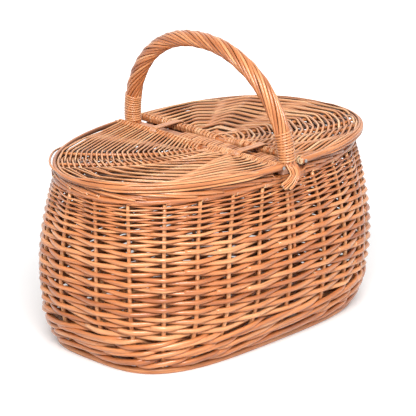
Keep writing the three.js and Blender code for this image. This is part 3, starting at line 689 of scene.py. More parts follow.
def makeWale(s):
    draw = random.Random(8)
    rods = []
    for number in range(s["rounds"]):
        middle = s["bottom"] + s["round"] * (number + 0.18)
        for weaver in range(s["weavers"]):
            start = float(draw.randrange(8) * 3 + weaver)
            places = np.arange(start - 0.4, start + stakeCount + 1.2, 1 / s["steps"])
            # the count of stakes isn't a multiple of three, so the stroke drifts to close the round
            phase = ((places - start) * (s["closeAt"] / stakeCount)) % 3
            front = 1 - 2 * smooth(1 - np.minimum(phase, 3 - phase))
            climb = np.where(phase < 0.5, phase + 0.5, np.where(phase > 2.5, phase - 2.5, -1))
            rise = np.where(climb >= 0, 1 - 2 * smooth(climb), phase - 1.5)
            radii = s["radius"] * (1 + wobble(number * 3 + weaver, places * 0.5, 0.07))
            tip = smooth((places - (places[-1] - s["tipLength"])) / s["tipLength"])
            radii = radii * (1 - s["tipThin"] * tip)
            depth = sideShape["stakeDepth"] - (2.7 + radii * 0.9) * front
            heights = middle + s["rise"] * rise + wobble(3, places * 0.5, 0.8)
            # painted shade: the outer side where the stroke goes behind a stake, the inner side, and the
            # underside
            shadeSides = paintedShadeSides(ringOutward(places, middle), 0.6 * smooth(-front * 2 - 0.6), 0.6,
                                 0.75 * smooth(-front * 2 + 0.4), edge=0)
            rods.append(rod(ringPoints(places, heights, depth), radii, draw.uniform(0.2, 0.85), shadeSides))
    makeRods("foot_waling", rods, rodFinish, "basket", ["foot_wale"], sides=10, seed=3)


makeWale(waleSettings)

# Foot rod: one long rod round the bottom edge, its ends shaved to lie on each other
footSettings = {
    "radius": 3.95, "height": 4.0, "depth": 4.3, "start": 14.6, "scarf": 1.4, "scarfThin": 0.45,
    "scarfLift": 1.6,
}


def makeFoot(s):
    places = np.linspace(s["start"], s["start"] + stakeCount + s["scarf"], 240)
    into = smooth((places - places[0]) / s["scarf"])
    out = smooth((places[-1] - places) / s["scarf"])
    thin = s["scarfThin"]
    radii = s["radius"] * (1 - thin + thin * np.minimum(into, out))
    heights = s["height"] + s["scarfLift"] * ((1 - out) - (1 - into))
    depth = s["depth"] + wobble(5, places * 0.4, 0.25)
    points = ringPoints(places, np.maximum(heights, radii), depth)
    makeRods("foot_rod_round", [rod(points, radii, 0.62)], thickFinish, "basket",
             ["foot_rod"], sides=12, seed=4)


makeFoot(footSettings)

# Base: rods woven across sticks
baseSettings = {
    "bottom": 9.3, "top": 21.3, "stickRadius": 3.0, "longSpan": 140, "longAt": (-40, 40), "crossSpan": 80,
    "crossAt": (-85, 0, 85), "extraAt": (-168, -127, -42.5, 42.5, 127, 168), "extraRadius": 2.6,
    "rodRadius": 2.15, "pitch": 4.5, "wall": 12.5,
}


def baseHalf(across, along=False):
    # Half of the base's length at a distance across it, or the other way round
    halfLength, halfWidth, squareness = (float(v) for v in sideOval(15))
    a, b = halfLength - baseSettings["wall"], halfWidth - baseSettings["wall"]
    if along:
        a, b = b, a
    return a * max(0.0, 1 - (abs(across) / b) ** squareness) ** (1 / squareness)


def makeBase(s):
    draw = random.Random(21)
    low = s["bottom"] + s["stickRadius"]
    high = s["top"] - s["stickRadius"]
    span = s["longSpan"]
    sticks = [("long", i, [(-span, y, high), (0, y + draw.uniform(-1, 1), high), (span, y, high)], 30)
              for i, y in enumerate(s["longAt"])]
    span = s["crossSpan"]
    sticks += [("cross", i, [(x, -span, low), (x, 0, low), (x, span, low)], 33)
               for i, x in enumerate(s["crossAt"])]
    for way, i, line, seed in sticks:
        makeRods(f"base_{way}_{i + 1}", [rod(line, s["stickRadius"], 0.5)], thickFinish, "basket",
                 [f"base_stick_{way}_{i + 1}"], sides=10, seed=seed + i)
    rods = []
    for x in s["extraAt"]:
        half = baseHalf(x, along=True) - 3
        rods.append(rod([(x, -half, low), (x, 0, low), (x, half, low)], s["extraRadius"],
                        draw.uniform(0.3, 0.6)))
    allCross = np.array(sorted(s["crossAt"] + s["extraAt"]), float)
    crossings = np.r_[allCross[0] - 42, allCross, allCross[-1] + 42]
    half = baseHalf(0, along=True) - 2
    rows = int(2 * half / s["pitch"])
    for row in range(rows):
        y = -half + (row + 0.5) * 2 * half / rows
        reach = baseHalf(y) - 1
        x = np.linspace(-reach, reach, 90)
        phase = np.interp(x, crossings, np.arange(len(crossings)))
        z = low + 1.2 + np.sin(np.pi * (phase + row + 0.5)) * (s["rodRadius"] + 2.2)
        radii = s["rodRadius"] * np.linspace(1.1, 0.85, len(x))[::(-1) ** row]
        points = np.stack([x, y + wobble(row, x / 50, 0.5), z], 1)
        rods.append(rod(points, radii, draw.random()))
    makeRods("base_randing", rods, rodFinish, "basket", ["base_weave"], sides=6, seed=6)


makeBase(baseSettings)

# Border: pairs of stake ends rolled round the rim like a rope
borderSettings = {
    "oval": (213, 136.8, 2.3), "bottom": 205.3, "height": 16, "width": 17, "strands": 52, "run": 5.6,
    "pairShift": 0.34, "start": -118, "turn": 292, "radius": 2.15, "thin": (1.12, 0.42), "tuck": 2.6,
    "tuckFrom": 0.76, "cores": ((6.5, -3), (10.5, -3), (8.5, 2.2)), "coreRadius": 3.0,
    "notch": 6.8, "notchFrom": 30, "notchTo": 24,
}


def borderLimit(points, radii):
    # The strands dip under the centre lath
    s = borderSettings
    under = smooth((s["notchFrom"] - np.abs(points[:, 0])) / (s["notchFrom"] - s["notchTo"]))
    limit = s["bottom"] + s["height"] + rimSlope * points[:, 0] - radii + 0.2 - under * s["notch"]
    points[:, 2] = np.minimum(points[:, 2], limit)
    return points


def makeBorder(s):
    draw = random.Random(17)
    middle = s["bottom"] + s["height"] / 2
    thick, thin = s["thin"]
    part = np.linspace(0, 1, 44)
    tuck = s["tuck"] * smooth((part - s["tuckFrom"]) / (1 - s["tuckFrom"]))
    rods = []
    for strand in range(s["strands"]):
        start = strand * stakeCount / s["strands"] - s["pairShift"] * (strand % 2)
        run = s["run"] * draw.uniform(0.93, 1.1)
        places = start + run * part + draw.uniform(-0.08, 0.08)
        # the turn starts inside and low, goes over the top, comes down on the outside and tucks in there
        turn = np.radians(s["start"] + s["turn"] * part + draw.uniform(-5, 5))
        radii = s["radius"] * (thick - thin * part) * draw.uniform(0.93, 1.08)
        depth = s["width"] / 2 + (s["width"] / 2 - radii) * np.cos(turn) + tuck
        height = middle + (s["height"] / 2 - radii) * np.sin(turn)
        depth += wobble(strand, part * 5, 0.5)
        height += wobble(strand + 60, part * 5, 0.8)
        points = borderLimit(ringPoints(places, height, depth, oval=s["oval"]), radii)
        out = ringOutward(places, middle) * -np.cos(turn)[:, None]
        out[:, 2] = np.sin(turn)
        # painted shade on the inner side of each strand, where it lies against the others
        rods.append(rod(points, radii, draw.uniform(0, 0.7), paintedShadeSides(out, inner=0.92, edge=0.4)))
    for ring, (depth, lift) in enumerate(s["cores"]):
        places = np.linspace(ring * 7.0, ring * 7.0 + stakeCount + 0.6, 210)
        radii = np.full(len(places), s["coreRadius"])
        points = ringPoints(places, middle + lift, depth, oval=s["oval"])
        rods.append(rod(borderLimit(points, radii), radii, 0.2))
    makeRods("rim_rolled_border", rods, rodFinish, "basket", ["rim_border"], sides=8, seed=7)


makeBorder(borderSettings)

# Centre lath
lathSettings = {
    "width": 26.8, "length": 267.2, "bottom": 215.3, "thickness": 7, "bevel": 1.1, "cuts": 23, "bend": 0.5,
}


def makeLath(s):
    work = bmesh.new()
    bmesh.ops.create_cube(work, size=1)
    size = (s["width"], s["length"], s["thickness"])
    bmesh.ops.scale(work, vec=Vector(size) * mm, verts=work.verts)
    middle = s["bottom"] + s["thickness"] / 2
    bmesh.ops.translate(work, vec=Vector((0, 0, middle)) * mm, verts=work.verts)
    long = [edge for edge in work.edges if abs(edge.verts[0].co.y - edge.verts[1].co.y) > 0.1]
    bmesh.ops.subdivide_edges(work, edges=long, cuts=s["cuts"])
    for vert in work.verts:
        place = Vector((vert.co.y / mm / 55, 3.1, vert.co.z * 90))
        vert.co.x += s["bend"] * mm * noise.noise(place)
    sharp = [edge for edge in work.edges if edge.calc_face_angle(0) > 0.9]
    bmesh.ops.bevel(work, geom=sharp, offset=s["bevel"] * mm, segments=3, profile=0.5,
                    affect="EDGES", material=-1)
    bmesh.ops.recalc_face_normals(work, faces=work.faces)
    finishPiece("sawn_centre_lath", meshFrom("lath", work), [lathFinish], "basket", ["centre_lath"])


makeLath(lathSettings)

# Handle: a thick bow with thinner rods roped round it
handleSettings = {
    "halfSpan": 128.3, "foot": 222.3, "rise": 129.2, "squareness": 2.1, "lean": -9.1, "drift": 3.6,
    "bowRadius": 4.2, "legBottom": 120, "legTop": 206, "legSteps": 12, "legShift": 3.05,
    "strands": 13, "strandRadius": 1.98, "ropeRadius": 7.85, "inAndOut": 0.3, "twist": 0.075,
    # how fast the roping twists: most over the top, and little down to the front binding
    "twistPlaces": (0, 0.15, 0.5, 0.85, 1), "twistRates": (0.2, 0.35, 0.72, 0.62, 0.45),
}


def archLine(count=700):
    h = handleSettings
    angle = np.pi * np.linspace(0, 1, count)
    up = np.sin(angle) ** (2 / h["squareness"])
    along = np.cos(angle)
    y = -h["halfSpan"] * np.sign(along) * np.abs(along) ** (2 / h["squareness"]) + h["drift"] * up
    points = np.stack([h["lean"] * up, y, h["foot"] + h["rise"] * up], 1)
    return points, distancesAlong(points)


archPoints, archLengths = archLine()
archLength = float(archLengths[-1])


def archFrames(distances):
    # Points of the bow's middle line, its direction there, and two directions across it
    distances = np.asarray(distances, float)

    def at(values):
        inside = np.clip(values, 0, archLength)
        return np.stack([np.interp(inside, archLengths, archPoints[:, k]) for k in range(3)], 1)

    middle = at(distances)
    axis = at(distances + 1.5) - at(distances - 1.5)
    axis /= np.linalg.norm(axis, axis=1)[:, None]
    beyond = distances - np.clip(distances, 0, archLength)
    middle = middle + axis * beyond[:, None]
    side = np.array([1.0, 0, 0]) - axis * axis[:, :1]
    side /= np.linalg.norm(side, axis=1)[:, None]
    return middle, axis, side, np.cross(axis, side)


def makeBow(s):
    steps = s["legSteps"]
    heights = np.linspace(s["legBottom"], s["legTop"], steps)
    front, back = (ringPoints(np.full(steps, place), heights, sideShape["stakeDepth"], s["legShift"])
                   for place in (0.0, stakeCount / 2))
    middle = archFrames(np.linspace(0, archLength, 90))[0]
    points = np.concatenate([front, middle, back[::-1]])
    radii = np.full(len(points), s["bowRadius"])
    taper = np.linspace(0.35, 1, steps) ** 0.6
    radii[:steps] *= taper
    radii[-steps:] *= taper[::-1]
    makeRods("bow_rod", [rod(points, radii, 0.4)], thickFinish, "basket", ["handle_bow"],
             sides=12, seed=8)


makeBow(handleSettings)


def twistAt(distances):
    part = np.asarray(distances, float) / archLength
    dense = np.linspace(0, 1, 400)
    rate = np.interp(dense, handleSettings["twistPlaces"], handleSettings["twistRates"])
    total = np.r_[0, np.cumsum((rate[1:] + rate[:-1]) / 2 * np.diff(dense))]
    return handleSettings["twist"] * archLength * np.interp(part, dense, total)


# The roping's tails fan out over the border. A station is x, the distance to the front, z and a turn.
tailSettings = {
    "rods": 7, "radius": 1.25, "halfWidth": 8.6, "fan": (0.72, 0.95, 1.1), "fanAt": (0, 0.35, 1),
    "stations": [(0, 128.3, 232, 0.0), (0, 134.6, 224.5, 0.0), (1, 138.4, 219.5, 0.05),
                 (1, 139.8, 214, 0.25), (-6, 139.8, 206.5, 0.6), (-19, 138.4, 199, 0.85)],
}


def smoothLine(points, count):
    # A smooth line through a few stations
    points = np.asarray(points, float)
    lengths = distancesAlong(points[:, :3])
    even = np.linspace(0, lengths[-1], count)
    line = np.stack([np.interp(even, lengths, points[:, k]) for k in range(points.shape[1])], 1)
    return relaxed(line, max(2, count // 9))


def tailRods(s, draw, back):
    rods = []
    middle = smoothLine(s["stations"], 40)
    x, y, z, turn = middle.T
    part = np.linspace(0, 1, len(middle))
    spread = s["halfWidth"] * np.interp(part, s["fanAt"], s["fan"])
    for i in range(s["rods"]):
        across = 2 * i / (s["rods"] - 1) - 1
        offset = across * spread + part * wobble(i + 7, part * 2.2, 2.4)
        raised = 0.9 * (1 - across * across) + 0.5 * (i % 2) + wobble(i, part * 3, 0.3)
        points = np.stack([x + offset * np.cos(turn), -(y + raised), z - offset * np.sin(turn)], 1)
        keep = int(len(middle) * draw.uniform(0.82, 1.0))
        points = points[:keep]
        if back:
            points[:, :2] *= -1
        radii = s["radius"] * np.linspace(1.12, 0.85, keep) * draw.uniform(0.9, 1.08)
        out = (0, 1, 0) if back else (0, -1, 0)
        # painted shade on the inner side of each tail rod, where it lies against the others
        rods.append(rod(points, radii, draw.uniform(0.35, 1.0), paintedShadeSides(out, inner=0.95, edge=0.35)))
    return rods


def makeRoping(s, tails):
    draw = random.Random(31)
    rods = []
    distances = np.linspace(0.5, archLength - 0.5, 150)
    middle, _, side, other = archFrames(distances)
    for i in range(s["strands"]):
        slack = wobble(i, distances / 45, 0.10)
        turn = 2 * np.pi * i / s["strands"] + twistAt(distances) + slack
        part = distances / archLength if i % 2 else 1 - distances / archLength
        radii = s["strandRadius"] * (1.08 - 0.16 * part) * draw.uniform(0.94, 1.06)
        reach = s["ropeRadius"] + s["inAndOut"] * (-1) ** i
        reach = reach + wobble(i + 20, distances / 30, 0.35)
        out = side * np.cos(turn)[:, None] + other * np.sin(turn)[:, None]
        # painted shade on the inner side of each strand, towards the bow
        rods.append(rod(middle + out * reach[:, None], radii, draw.uniform(0.05, 0.9),
                        paintedShadeSides(out, inner=0.95, edge=0.4)))
    rods += tailRods(tails, draw, False) + tailRods(tails, draw, True)
    makeRods("handle_rope", rods, rodFinish, "basket", ["handle_roping"], sides=10, seed=9)


makeRoping(handleSettings, tailSettings)

# Bindings: one flat skein wound round each foot of the handle
bindingSettings = {
    "turns": 11.2, "pitch": 3.15, "width": 2.7, "thickness": 2.5, "start": 6.0, "radius": 9.5, "steps": 26,
    "tone": (0.4, 0.6),
}


def makeBinding(end, seed, s):
    draw = random.Random(seed)
    index = np.arange(int(s["turns"] * s["steps"]) + 1)
    along = s["start"] + s["pitch"] * index / s["steps"]
    middle, axis, side, other = archFrames(along if end == "front" else archLength - along)
    turn = 2 * np.pi * index / s["steps"]
    lean = wobble(seed, index / s["steps"] * 1.3, 0.5)
    out = side * np.cos(turn)[:, None] + other * np.sin(turn)[:, None]
    radius = s["radius"] + wobble(seed + 5, index / 9, 0.12)
    points = middle + out * radius[:, None] + axis * lean[:, None]
    makeSkein(f"{end}_binding", f"handle_binding_{end}", list(zip(points, out, axis)), s,
              draw.uniform(*s["tone"]), seed)


makeBinding("front", 41, bindingSettings)
makeBinding("back", 42, bindingSettings)

# Lids, each in its own frame: the bar's middle line is the Y axis, and the lid lies towards +X.
# A rib is given by three places that it goes through. Taper gives the hoop's radius from its front end, 0,
# to its back end, 1. An edge rod is (begin, end, how many hoop radii inwards, radius, height).
lidSettings = {
    "half": (215, 138.8), "barX": 19, "barRadius": 4.7, "barCore": 3.4, "barEnds": 126, "hoopHeight": 226.7,
    "hoopWidth": 9.9, "hoopEndX": 15, "ribZ": -0.2, "ribRadius": 2.0, "ribFrom": -0.04, "weftRadius": 1.18,
    "firstRow": 3, "step": 3.6, "sag": 3.6, "sagAlong": 62, "sagOut": 150, "lift": 1.12, "bundle": 4,
    # the last two set how strong the painted shade is between the wefts and on their flanks
    "bulge": 0.07, "tieX": 7.2, "tieZ": (1.2, -3.2), "paintedShade": 0.92, "flanks": 0.55,
}
leftLid = {
    "name": "left", "side": -1, "squareness": 2.05, "seed": 51, "centre": 15, "rows": 57, "frontEnd": 1,
    "ribs": [((5, 6), (80, -28), (136, -97)), ((5, 21), (96, 1), (170, -72)),
             ((5, 33), (99, 22), (178, -38)), ((5, 46), (90, 56), (158, 52)), ((5, 62), (50, 92), (85, 113))],
    "taper": [(0, 4.8), (0.04, 4.5), (0.1, 3.1), (0.42, 2.6), (0.5, 2.4), (0.75, 2.3), (0.93, 2.8),
              (1, 3.3)],
    "edgeRods": [(0.24, 0.86, 2.4, 1.5, 0.4), (0.30, 0.93, 0.5, 1.45, -2.9), (0.2, 0.80, 1.6, 1.3, -3.3),
                 (0.02, 0.55, 1.35, 1.45, 3.4), (0.01, 0.46, 0.1, 1.5, -4.1), (0.06, 0.5, 2.3, 1.5, 1.6),
                 (0.03, 0.4, 0.1, 1.4, 4.0), (0.0, 0.37, 1.3, 1.5, -3.9), (0.57, 0.82, -1.7, 1.4, 2.4)],
    "edgeWidth": 7.4, "pairedFrom": 3, "weftScale": 1,
}
rightLid = {
    "name": "right", "side": 1, "squareness": 2.45, "seed": 61, "centre": -6, "rows": 52, "frontEnd": -1,
    "ribs": [((5, -62), (40, -98), (80, -118)), ((5, -34), (60, -80), (140, -88)),
             ((5, -14), (80, -57), (156, -70)), ((5, 4), (90, -16), (182, -43)),
             ((5, 18), (75, 51), (150, 88)), ((5, 47), (42, 80), (82, 121))],
    "taper": [(0, 4.1), (0.04, 3.9), (0.1, 2.8), (0.35, 2.6), (0.5, 2.5), (0.8, 2.5), (1, 3.2)],
    "edgeRods": [(0.14, 0.9, 2.5, 1.5, 0.6), (0.3, 0.97, 0.7, 1.6, -2.9), (0.02, 0.55, 1.4, 1.4, 3.2),
                 (0.01, 0.42, 0.1, 1.5, -3.8), (0.05, 0.45, 2.3, 1.5, 1.2), (0, 0.35, 1.35, 1.5, -3.7)],
    "edgeWidth": 6.6, "pairedFrom": 3, "weftScale": 1.28,
}


def placed(points, lid):
    # From the lid's frame to the basket's. A lid sags a little round the middle of its bar.
    s = lidSettings
    points = np.array(points, float)
    along = np.clip(np.abs(points[:, 1]) / s["sagAlong"], 0, 1)
    out = np.clip(points[:, 0] / s["sagOut"], 0, 1)
    points[:, 2] -= s["sag"] * (1 - smooth(along)) * (1 - smooth(out))
    x = lid["side"] * s["barX"]
    move = Matrix.Translation((x, 0, s["hoopHeight"] + lid["side"] * rimSlope * s["barX"]))
    tilt = Matrix.Rotation(-math.atan(rimSlope), 4, "Y")
    turn = Matrix.Rotation(0 if lid["side"] > 0 else math.pi, 4, "Z")
    place = np.array(move @ tilt @ turn)
    return points @ place[:3, :3].T + place[:3, 3]


def edgeXY(angle, squareness, depth):
    s = lidSettings
    oval = (*s["half"], squareness)
    x, y = ovalXY(angle, oval)
    nx, ny = ovalNormal(x, y, oval)
    return x - depth * nx - s["barX"], y - depth * ny


def edgeAngle(squareness, x):
    return math.acos((x / lidSettings["half"][0]) ** (squareness / 2))


def halved(low, high, steps, isLow):
    # Halves the space between two values until it closes on where isLow changes
    for _ in range(steps):
        middle = (low + high) / 2
        low, high = (middle, high) if isLow(middle) else (low, middle)
    return low


def innerReach(lid, direction):
    # How far the hoop's inner edge is from the row centre in a direction
    s = lidSettings
    a, b, n = s["half"][0] - lid["edgeWidth"], s["half"][1] - lid["edgeWidth"], lid["squareness"]

    def inside(distance):
        x, y = direction[0] * distance + s["barX"], lid["centre"] + direction[1] * distance
        return abs(x / a) ** n + abs(y / b) ** n < 1

    return halved(0.0, 400.0, 30, inside)


def ribPoint(rib, part):
    # A rib's middle line, 0 at its start on the bar and 1 at its last given place
    start, middle, end = (np.array(place, float) for place in rib)
    return (start * (1 - part) * (1 - 2 * part) + middle * 4 * part * (1 - part)
            + end * part * (2 * part - 1))


def ribCrossing(lid, rib, share):
    # Where the row at share (0 centre, 1 hoop) crosses a rib, or None where the rib starts further out
    def level(part):
        spot = ribPoint(rib, part) - np.array([0, lid["centre"]])
        size = math.hypot(*spot)
        return size / innerReach(lid, spot / size)

    if level(0) > share:
        return None
    return ribPoint(rib, halved(0.0, 1.3, 24, lambda part: level(part) < share))


def bundled(lid, y, row):
    # Near the front end of the bar the wefts come in together, a few to a bundle
    s = lidSettings
    towards = smooth((y * lid["frontEnd"] - 25) / 30)
    pitch = (lid["frontEnd"] * s["half"][1] - lid["centre"]) * lid["frontEnd"] / lid["rows"]
    place = row % s["bundle"] - (s["bundle"] - 1) / 2
    return y - lid["frontEnd"] * place * pitch * 0.42 * towards


def barCoil(y, over, outward, radius, lift, count=13):
    # The end of a weft, wound once round the bar
    sign = 1 if over else -1
    angle = np.linspace(math.radians(38), math.radians(372), count)
    reach = lidSettings["barCore"] + radius + lift
    return np.stack([reach * np.cos(angle), y + outward * np.linspace(0, 2.5, count),
                     sign * reach * np.sin(angle)], 1)


def bulged(start, end, centre):
    # A place half way along a long span, pushed outwards a little
    start, end = np.array(start), np.array(end)
    middle = (start + end) / 2
    away = middle - np.array([0, centre, middle[2]])
    push = lidSettings["bulge"] * max(0.0, np.linalg.norm(end - start) - 25)
    return middle + away / np.linalg.norm(away) * push


def nearEdge(lid, start, end, share):
    # A place half way between two ribs: straight near the centre, following the hoop in the outer rows
    middle = (np.array(start) + np.array(end)) / 2
    spot = middle[:2] - np.array([0, lid["centre"]])
    size = math.hypot(*spot)
    full = innerReach(lid, spot / size) * share
    spot = spot / size * (size + (full - size) * float(smooth((share - 0.55) / 0.4)))
    return np.array([spot[0], spot[1] + lid["centre"], middle[2]])


def weftCorners(lid, row, share, height, low, high):
    # The places that a weft goes through: the bar, over or under each rib, and the bar again
    s = lidSettings
    centre = lid["centre"]
    over = row % 2 == 0
    first, last = ((s["tieX"], y, s["tieZ"][0 if over else 1]) for y in (low, high))
    controls = []
    for index, rib in enumerate(lid["ribs"]):
        spot = ribCrossing(lid, rib, share)
        if spot is not None:
            turn = row if index < lid["pairedFrom"] else row // 2
            sign = 1 if (turn + index) % 2 else -1
            controls.append((spot[0], spot[1], s["ribZ"] + sign * height))
    if not controls:
        return [first, (share * innerReach(lid, (1, 0)) + 5, centre, s["ribZ"] + (2 if over else -2)), last]
    line = [first, bulged(first, controls[0], centre), controls[0]]
    for before, spot in zip(controls[:-1], controls[1:]):
        line += [nearEdge(lid, before, spot, share), spot]
    return line + [bulged(controls[-1], last, centre), last]


def weftRow(lid, row, draw):
    s = lidSettings
    share = row / (lid["rows"] + 0.3)
    low = bundled(lid, lid["centre"] - innerReach(lid, (0, -1)) * share, row)
    high = bundled(lid, lid["centre"] + innerReach(lid, (0, 1)) * share, row)
    height = (s["ribRadius"] + s["weftRadius"]) * s["lift"]
    corners = [np.array(corner, float) for corner in weftCorners(lid, row, share, height, low, high)]
    pieces = []
    for start, end in zip(corners[:-1], corners[1:]):
        count = max(2, int(np.linalg.norm(end - start) / s["step"]))
        part = np.linspace(0, 1, count, endpoint=False)[:, None]
        pieces.append(start + (end - start) * part)
    points = relaxed(np.concatenate(pieces + [corners[-1][None]]), 2)
    # near the middle of the bar the coils are thicker and stand higher
    middling = 1 - float(smooth((share - 0.15) / 0.4))
    thin = 0.85 + 0.3 * middling
    coilStart, coilEnd = (barCoil(y, row % 2 == 0, outward, thin, 0.9 * middling)
                          for y, outward in ((low, -1), (high, 1)))
    turns = len(coilStart)
    whole = np.concatenate([coilStart[::-1], points, coilEnd])
    radii = np.full(len(whole), s["weftRadius"] * draw.uniform(0.92, 1.1) * lid["weftScale"])
    radii[:turns] = radii[-turns:] = thin
    radii = relaxed(radii, 3)
    whole[:, 1] += wobble(row, np.arange(len(whole)) / 11, 0.3)
    # painted shade: the underside where a weft rises over a rib, the top where it dips under one, and both
    # flanks
    rise = np.clip((whole[:, 2] - s["ribZ"]) / height, -1, 1)
    rise[:turns] = rise[-turns:] = 0
    shadeSides = paintedShadeSides((0, 0, 1), s["paintedShade"] * smooth(-rise * 2.2), s["paintedShade"] * smooth(rise * 2.2),
                         flanks=s["flanks"])
    return rod(placed(whole, lid), radii, 0.1 + 0.9 * draw.random(), shadeSides)


def makeLidRods(lid, part, rods, finish, nodes, sides, seed):
    name = f"{lid['name']}_lid"
    makeRods(f"{name}_{part}", rods, finish, name, [f"{name}_{node}" for node in nodes], sides, seed)


def makeLidWeave(lid):
    draw = random.Random(lid["seed"])
    rods = [weftRow(lid, row, draw) for row in range(lidSettings["firstRow"], lid["rows"] + 1)]
    makeLidRods(lid, "randing", rods, lidFinish, ["weave"], 8, lid["seed"])


def edgeLine(lid, parts, depth, z):
    # part 0 is the hoop's front end and 1 its back end; depth goes in from the lid's outline
    limit = edgeAngle(lid["squareness"], lidSettings["hoopEndX"])
    angles = lid["frontEnd"] * limit * (1 - 2 * parts)
    x, y = edgeXY(angles, lid["squareness"], depth)
    return placed(np.stack([x, y, z + np.zeros(len(x))], 1), lid)


# Painted shade for a rod round the hoop, on its inner side where it lies against the others
def edgeShadeSides(lid, parts, level, up, inner, edge):
    out = edgeLine(lid, parts, 0, 0) - edgeLine(lid, parts, 1, 0)
    return paintedShadeSides(out * level + np.array([0, 0, up]), inner=inner, edge=edge)


def makeHoop(lid):
    draw = random.Random(lid["seed"] + 1)
    parts = np.linspace(0, 1, 130)
    radii = np.interp(parts, *zip(*lid["taper"])) * (1 + wobble(lid["seed"], parts * 7, 0.06))
    line = edgeLine(lid, parts, radii + 0.1, wobble(3, parts * 6, 0.4))
    rods = [rod(line, radii, 0.45, edgeShadeSides(lid, parts, 0.7, 0.7, 0.9, 0.45))]
    for index, (begin, end, inward, radius, z) in enumerate(lid["edgeRods"]):
        parts = np.linspace(begin, end, 90)
        ends = np.minimum(smooth((parts - begin) / 0.08), smooth((end - parts) / 0.08))
        # a rod that lies outside the hoop is tied to it at its ends only
        inwards = inward * (ends if inward < 0 else 1) * np.interp(parts, *zip(*lid["taper"]))
        line = edgeLine(lid, parts, inwards + radius + wobble(index + 12, parts * 9, 0.5),
                        z * ends + wobble(index + 4, parts * 8, 0.5))
        rods.append(rod(line, radius * (0.55 + 0.45 * ends), draw.uniform(0.1, 0.85),
                        edgeShadeSides(lid, parts, 0.6, 0.8, 0.95, 0.5)))
    makeLidRods(lid, "hoop_rod", rods, thickFinish, ["hoop"], 12, lid["seed"] + 2)
    return draw


def makeBar(lid):
    s = lidSettings
    angle = edgeAngle(lid["squareness"], s["barX"] + s["barRadius"])
    reach = float(edgeXY(np.array([angle]), lid["squareness"], s["hoopWidth"])[1][0])
    y = np.linspace(-reach, reach, 60)
    radii = np.where(np.abs(y) > s["barEnds"], s["barRadius"] - 0.2, s["barCore"])
    line = placed(np.stack([0 * y, y, 0 * y], 1), lid)
    makeLidRods(lid, "bar_rod", [rod(line, radii, 0.35)], thickFinish, ["bar"], 12,
                lid["seed"] + 3)


def makeRibs(lid, draw):
    s = lidSettings
    rods = []
    for index, rib in enumerate(lid["ribs"]):
        end = ribCrossing(lid, rib, 0.99)
        shares = np.linspace(0, 1.3, 261)
        far = shares[np.argmin([np.hypot(*(ribPoint(rib, share) - end)) for share in shares])]
        line = np.array([ribPoint(rib, share) for share in np.linspace(s["ribFrom"], far, 40)])
        z = s["ribZ"] + wobble(index, np.linspace(0, 3, 40), 0.3)
        radii = s["ribRadius"] * np.linspace(1.1, 0.85, 40)
        rods.append(rod(placed(np.column_stack([line, z]), lid), radii, draw.uniform(0.2, 0.6)))
    makeLidRods(lid, "ribs", rods, thickFinish, ["rib_1", "rib_2", "rib_3"], 8,
                lid["seed"] + 4)


for lid in (leftLid, rightLid):
    ribDraw = makeHoop(lid)
    makeBar(lid)
    makeRibs(lid, ribDraw)
    makeLidWeave(lid)
    print(lid["name"], "lid made")

# Nails keep their own solids, with a better finish
for name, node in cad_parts.items():
    if "nail" in name:
        node.data.materials.clear()
        node.data.materials.append(steelFinish)

# Between the lids: thin rods wound round the lath, and hinge loops of skein round it and both lid bars
loopSettings = {
    "at": (-70, 70), "width": 12, "turns": 5, "radius": 1.1, "gap": 0.5, "grow": 1.2, "steps": 40,
    "tone": 0.35,
}
wrapSettings = {
    "from": -122, "to": 46, "pitch": 4.7, "radius": 1.75, "clear": 9, "packAt": (-5.5, 5.5),
    "packRadius": 1.6, "packLift": 1.5, "crown": 3.7, "shoulder": (8.5, 3.4),
}


def makeLathWrap(s):
    draw = random.Random(75)
    half, low, radius = lathSettings["width"] / 2, lathSettings["bottom"], s["radius"]
    high = low + lathSettings["thickness"]
    z = high + s["packLift"]
    rods = [rod([(x, s["from"], z), (x, s["to"], z)], s["packRadius"], 0.3)
            for x in s["packAt"]]
    shoulder, rise = s["shoulder"]
    rightHalf = [(shoulder, high + rise), (half - 0.5, high), (half + 1, low + 2), (half - 1, low - radius)]
    profile = [(-x, z) for x, z in rightHalf[::-1]] + [(0, high + s["crown"])] + rightHalf
    y = s["from"]
    while y < s["to"]:
        if min(abs(y - at) for at in loopSettings["at"]) > s["clear"]:
            lean = draw.uniform(0.05, 0.16)
            line = smoothLine([(x, y + lean * x, z) for x, z in profile], 34)
            line[:, 1] += wobble(len(rods) + 300, np.linspace(0, 2, len(line)), 0.5)
            # painted shade on the inner side of each wrap, against the lath
            rods.append(rod(line, radius * draw.uniform(0.85, 1.1), draw.uniform(0.0, 0.8),
                            paintedShadeSides((0, 0, 1), inner=0.95, edge=0.5)))
        y += s["pitch"] * draw.uniform(0.88, 1.12)
    makeRods("lath_wrap", rods, lidFinish, "basket", [], sides=8, seed=76)


def loopOutline(s):
    # A taut line round both lid bars and the lath's lower edges, seen along the bars
    lid, lath, grow = lidSettings, lathSettings, s["grow"]
    rounds = []
    for side in (-1, 1):
        rounds.append((side * lid["barX"], lid["hoopHeight"] + side * rimSlope * lid["barX"],
                       lid["barRadius"] + s["gap"] + grow))
        rounds.append((side * lath["width"] / 2, lath["bottom"], 0.3 + grow))
    outline = []
    for angle in 2 * np.pi * (np.arange(s["steps"]) + 0.5) / s["steps"]:
        out = (math.cos(angle), math.sin(angle))
        x, z, radius = max(rounds, key=lambda each: each[0] * out[0] + each[1] * out[1] + each[2])
        outline.append(((x + radius * out[0], z + radius * out[1]), out))
    return outline


